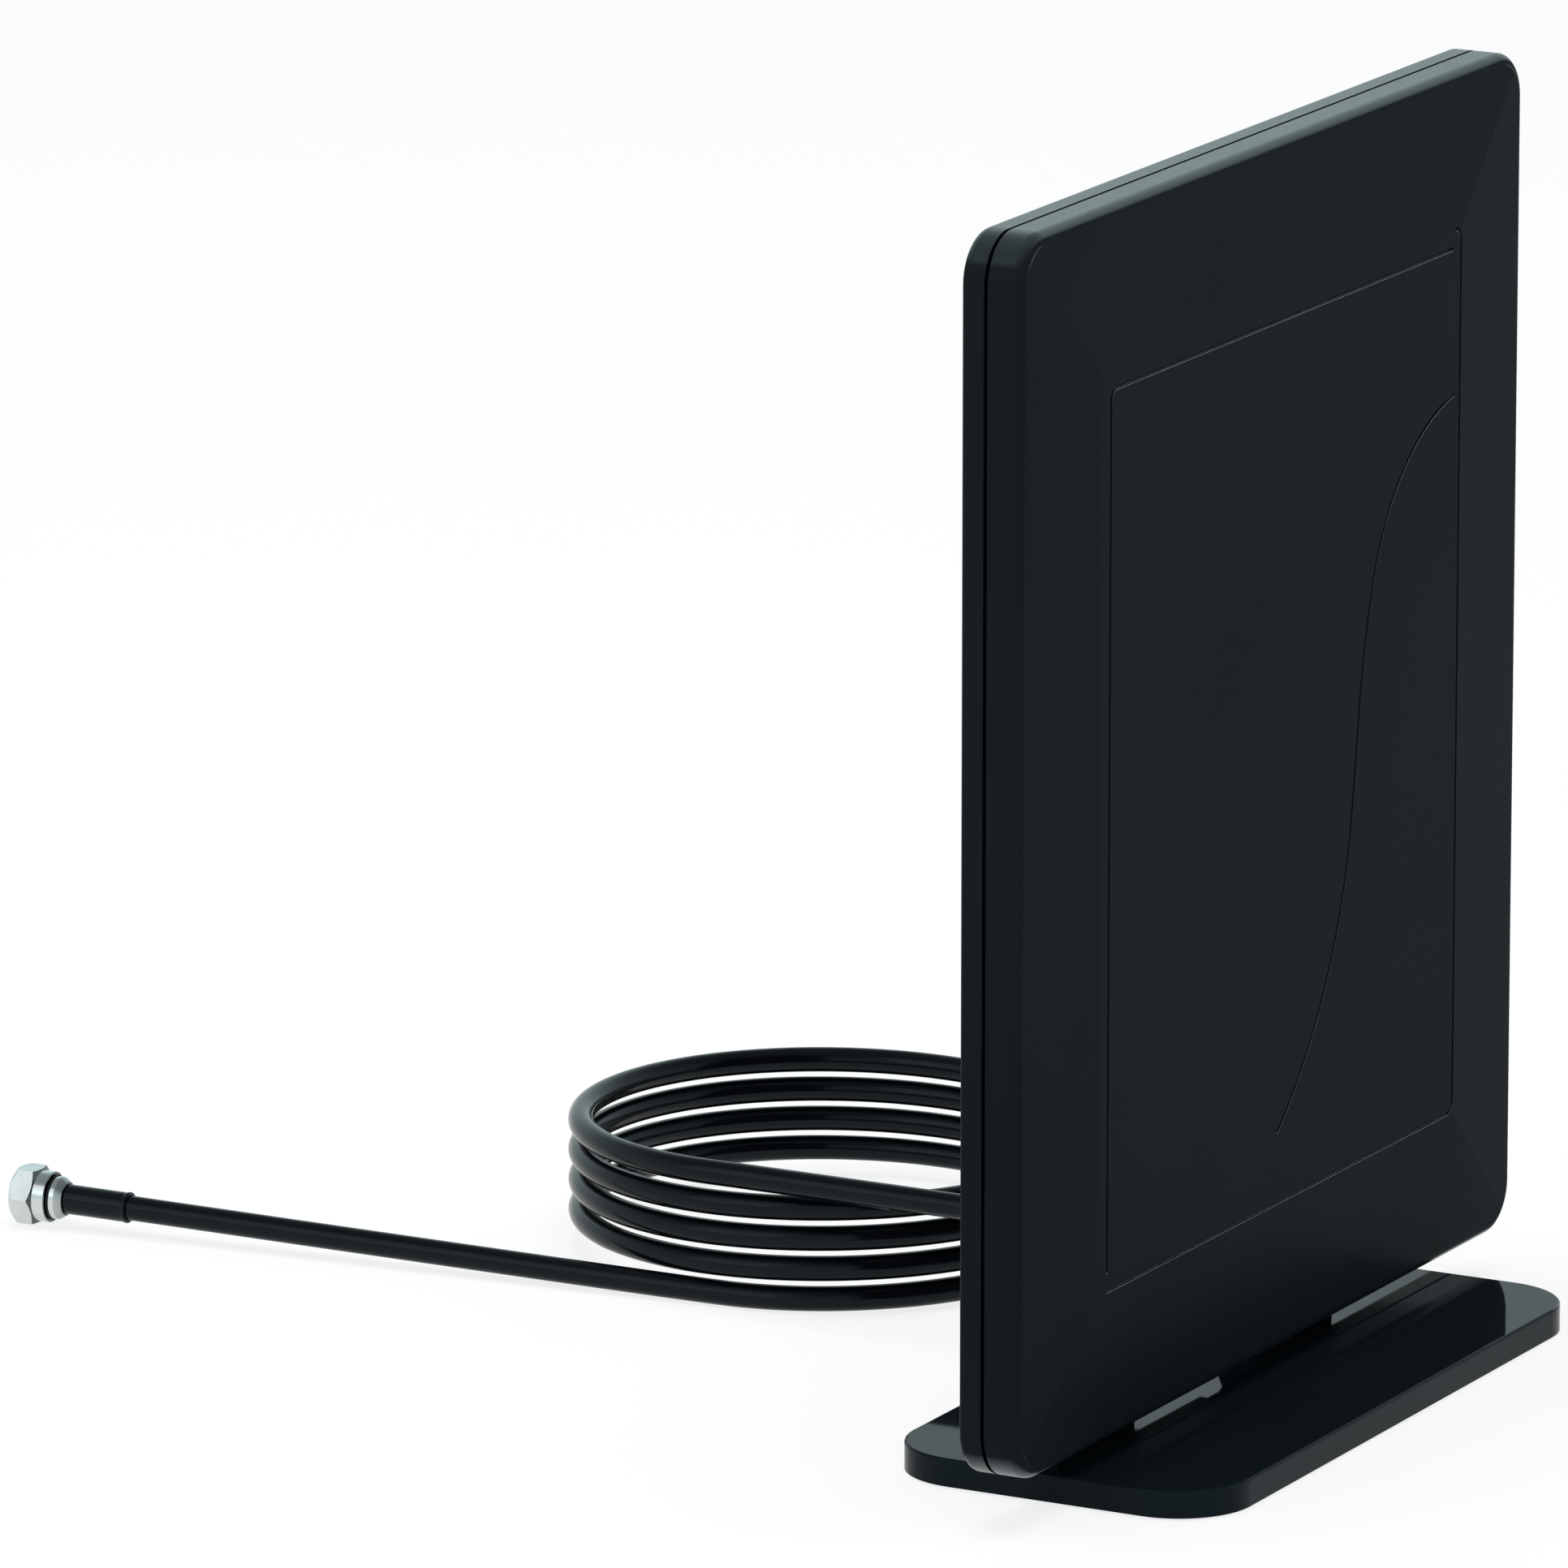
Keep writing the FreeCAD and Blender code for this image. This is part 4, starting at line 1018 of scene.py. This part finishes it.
class ANTENNA_OT_stage(bpy.types.Operator):
    """Set up the pale floor, the soft lamps, the surroundings and the camera"""

    bl_idname = "antenna.stage"
    bl_label = "Stage"

    def execute(self, context):
        setup = context.scene.antenna_stage
        scene = context.scene
        scene.view_settings.view_transform = "Standard"
        self.floor(setup)
        self.surroundings(setup)
        self.lamp("overhead_lamp", OVERHEAD_PLACE, OVERHEAD_SIZE, setup.overhead_power, mirrored=False)
        self.lamp("side_lamp", SIDE_PLACE, SIDE_SIZE, setup.side_power, mirrored=True)
        lens = bpy.data.cameras.new("photo_camera")
        lens.sensor_width = SENSOR_WIDTH
        lens.lens = setup.lens
        lens.clip_end = VIEW_REACH
        camera = bpy.data.objects.new("photo_camera", lens)
        camera.location = setup.camera_place
        camera.rotation_euler = setup.camera_turn
        scene.collection.objects.link(camera)
        scene.camera = camera
        return {"FINISHED"}

    def floor(self, setup):
        """Flat square grid of points at the height of the table."""
        reach = np.array([-FLOOR_REACH, 0.0, FLOOR_REACH])
        x, y = np.meshgrid(reach, reach)
        points = np.stack((x, y, np.zeros_like(x)), axis=-1)
        mesh = bpy.data.meshes.new("floor")
        faces = grid_faces(len(reach), len(reach), wrap_columns=False)
        mesh.from_pydata(points.reshape(-1, 3).tolist(), [], faces.tolist())
        finish = FinishNodes("pale_floor").set(Roughness=0.9, IOR=FLOOR_IOR)
        cloud = finish.noise(CLOUD_SCALE, detail=1.0)
        finish.colour(finish.mottle(cloud, setup.floor_colour, dark=0.995, light=1.0))
        seen = seen_rays(finish.nodes, finish.links)
        share = finish.span(seen, 0.0, setup.floor_glow, (0.0, 1.0))
        glow = finish.nodes.new("ShaderNodeEmission")
        mix = finish.nodes.new("ShaderNodeMixShader")
        finish.links.new(share, mix.inputs["Fac"])
        finish.links.new(finish.shader.outputs["BSDF"], mix.inputs[1])
        finish.links.new(glow.outputs["Emission"], mix.inputs[2])
        finish.links.new(mix.outputs["Shader"], finish.nodes["Material Output"].inputs["Surface"])
        mesh.materials.append(finish.material)
        floor = bpy.data.objects.new("floor", mesh)
        bpy.context.scene.collection.objects.link(floor)

    def surroundings(self, setup):
        """Pale walls all round that darken evenly to a dimmer ceiling."""
        world = bpy.data.worlds.new("studio")
        bpy.context.scene.world = world
        world.use_nodes = True
        nodes = world.node_tree.nodes
        links = world.node_tree.links
        heading = nodes.new("ShaderNodeTexCoord")
        split = nodes.new("ShaderNodeSeparateXYZ")
        ramp = nodes.new("ShaderNodeValToRGB")
        wall, ceiling = ramp.color_ramp.elements
        wall.position, ceiling.position = WALL_TOP, CEILING_START
        wall.color = (*setup.walls, 1.0)
        ceiling.color = (*setup.ceiling, 1.0)
        links.new(heading.outputs["Generated"], split.inputs["Vector"])
        links.new(split.outputs["Z"], ramp.inputs["Fac"])
        links.new(ramp.outputs["Color"], nodes["Background"].inputs["Color"])

    def lamp(self, name, place, size, power, mirrored):
        """Square soft lamp turned towards the panel's foot, which shows in reflections or doesn't."""
        light = bpy.data.lights.new(name, "AREA")
        light.shape = "SQUARE"
        light.size = size
        light.energy = power
        lamp = bpy.data.objects.new(name, light)
        lamp.location = place
        lamp.rotation_euler = (-Vector(place)).to_track_quat("-Z", "Y").to_euler()
        lamp.visible_glossy = mirrored
        bpy.context.scene.collection.objects.link(lamp)


PIECE_OPERATORS = (ANTENNA_OT_mouldings, ANTENNA_OT_inner_parts, ANTENNA_OT_screws, ANTENNA_OT_feet,
                   ANTENNA_OT_strain_relief, ANTENNA_OT_connector, ANTENNA_OT_cord, ANTENNA_OT_stage)
SETTINGS = {"antenna_cord": CordShape, "antenna_connector": ConnectorShape, "antenna_finish": PanelFinish,
            "antenna_fastener": FastenerShape, "antenna_stage": StageSetup}


class ANTENNA_PT_sidebar(bpy.types.Panel):
    """Sizes, colours and build steps of the antenna"""

    bl_idname = "ANTENNA_PT_sidebar"
    bl_label = "Indoor antenna"
    bl_space_type = "VIEW_3D"
    bl_region_type = "UI"
    bl_category = "Antenna"

    def draw(self, context):
        layout = self.layout
        for name, group in SETTINGS.items():
            box = layout.box()
            for key in group.__annotations__:
                box.prop(getattr(context.scene, name), key)
        for operator in PIECE_OPERATORS:
            layout.operator(operator.bl_idname)


CLASSES = (*SETTINGS.values(), *PIECE_OPERATORS, ANTENNA_PT_sidebar)


def register():
    """Register the classes and hang the settings on the scene."""
    for item in CLASSES:
        bpy.utils.register_class(item)
    for name, group in SETTINGS.items():
        setattr(bpy.types.Scene, name, PointerProperty(type=group))


def unregister():
    """Take the settings off the scene and unregister the classes."""
    for name in SETTINGS:
        delattr(bpy.types.Scene, name)
    for item in reversed(CLASSES):
        bpy.utils.unregister_class(item)


def main():
    """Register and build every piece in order."""
    register()
    bpy.ops.antenna.mouldings()
    bpy.ops.antenna.inner_parts()
    bpy.ops.antenna.screws()
    bpy.ops.antenna.feet()
    bpy.ops.antenna.strain_relief()
    bpy.ops.antenna.connector()
    bpy.ops.antenna.cord()
    bpy.ops.antenna.stage()


if __name__ == "__main__":
    main()
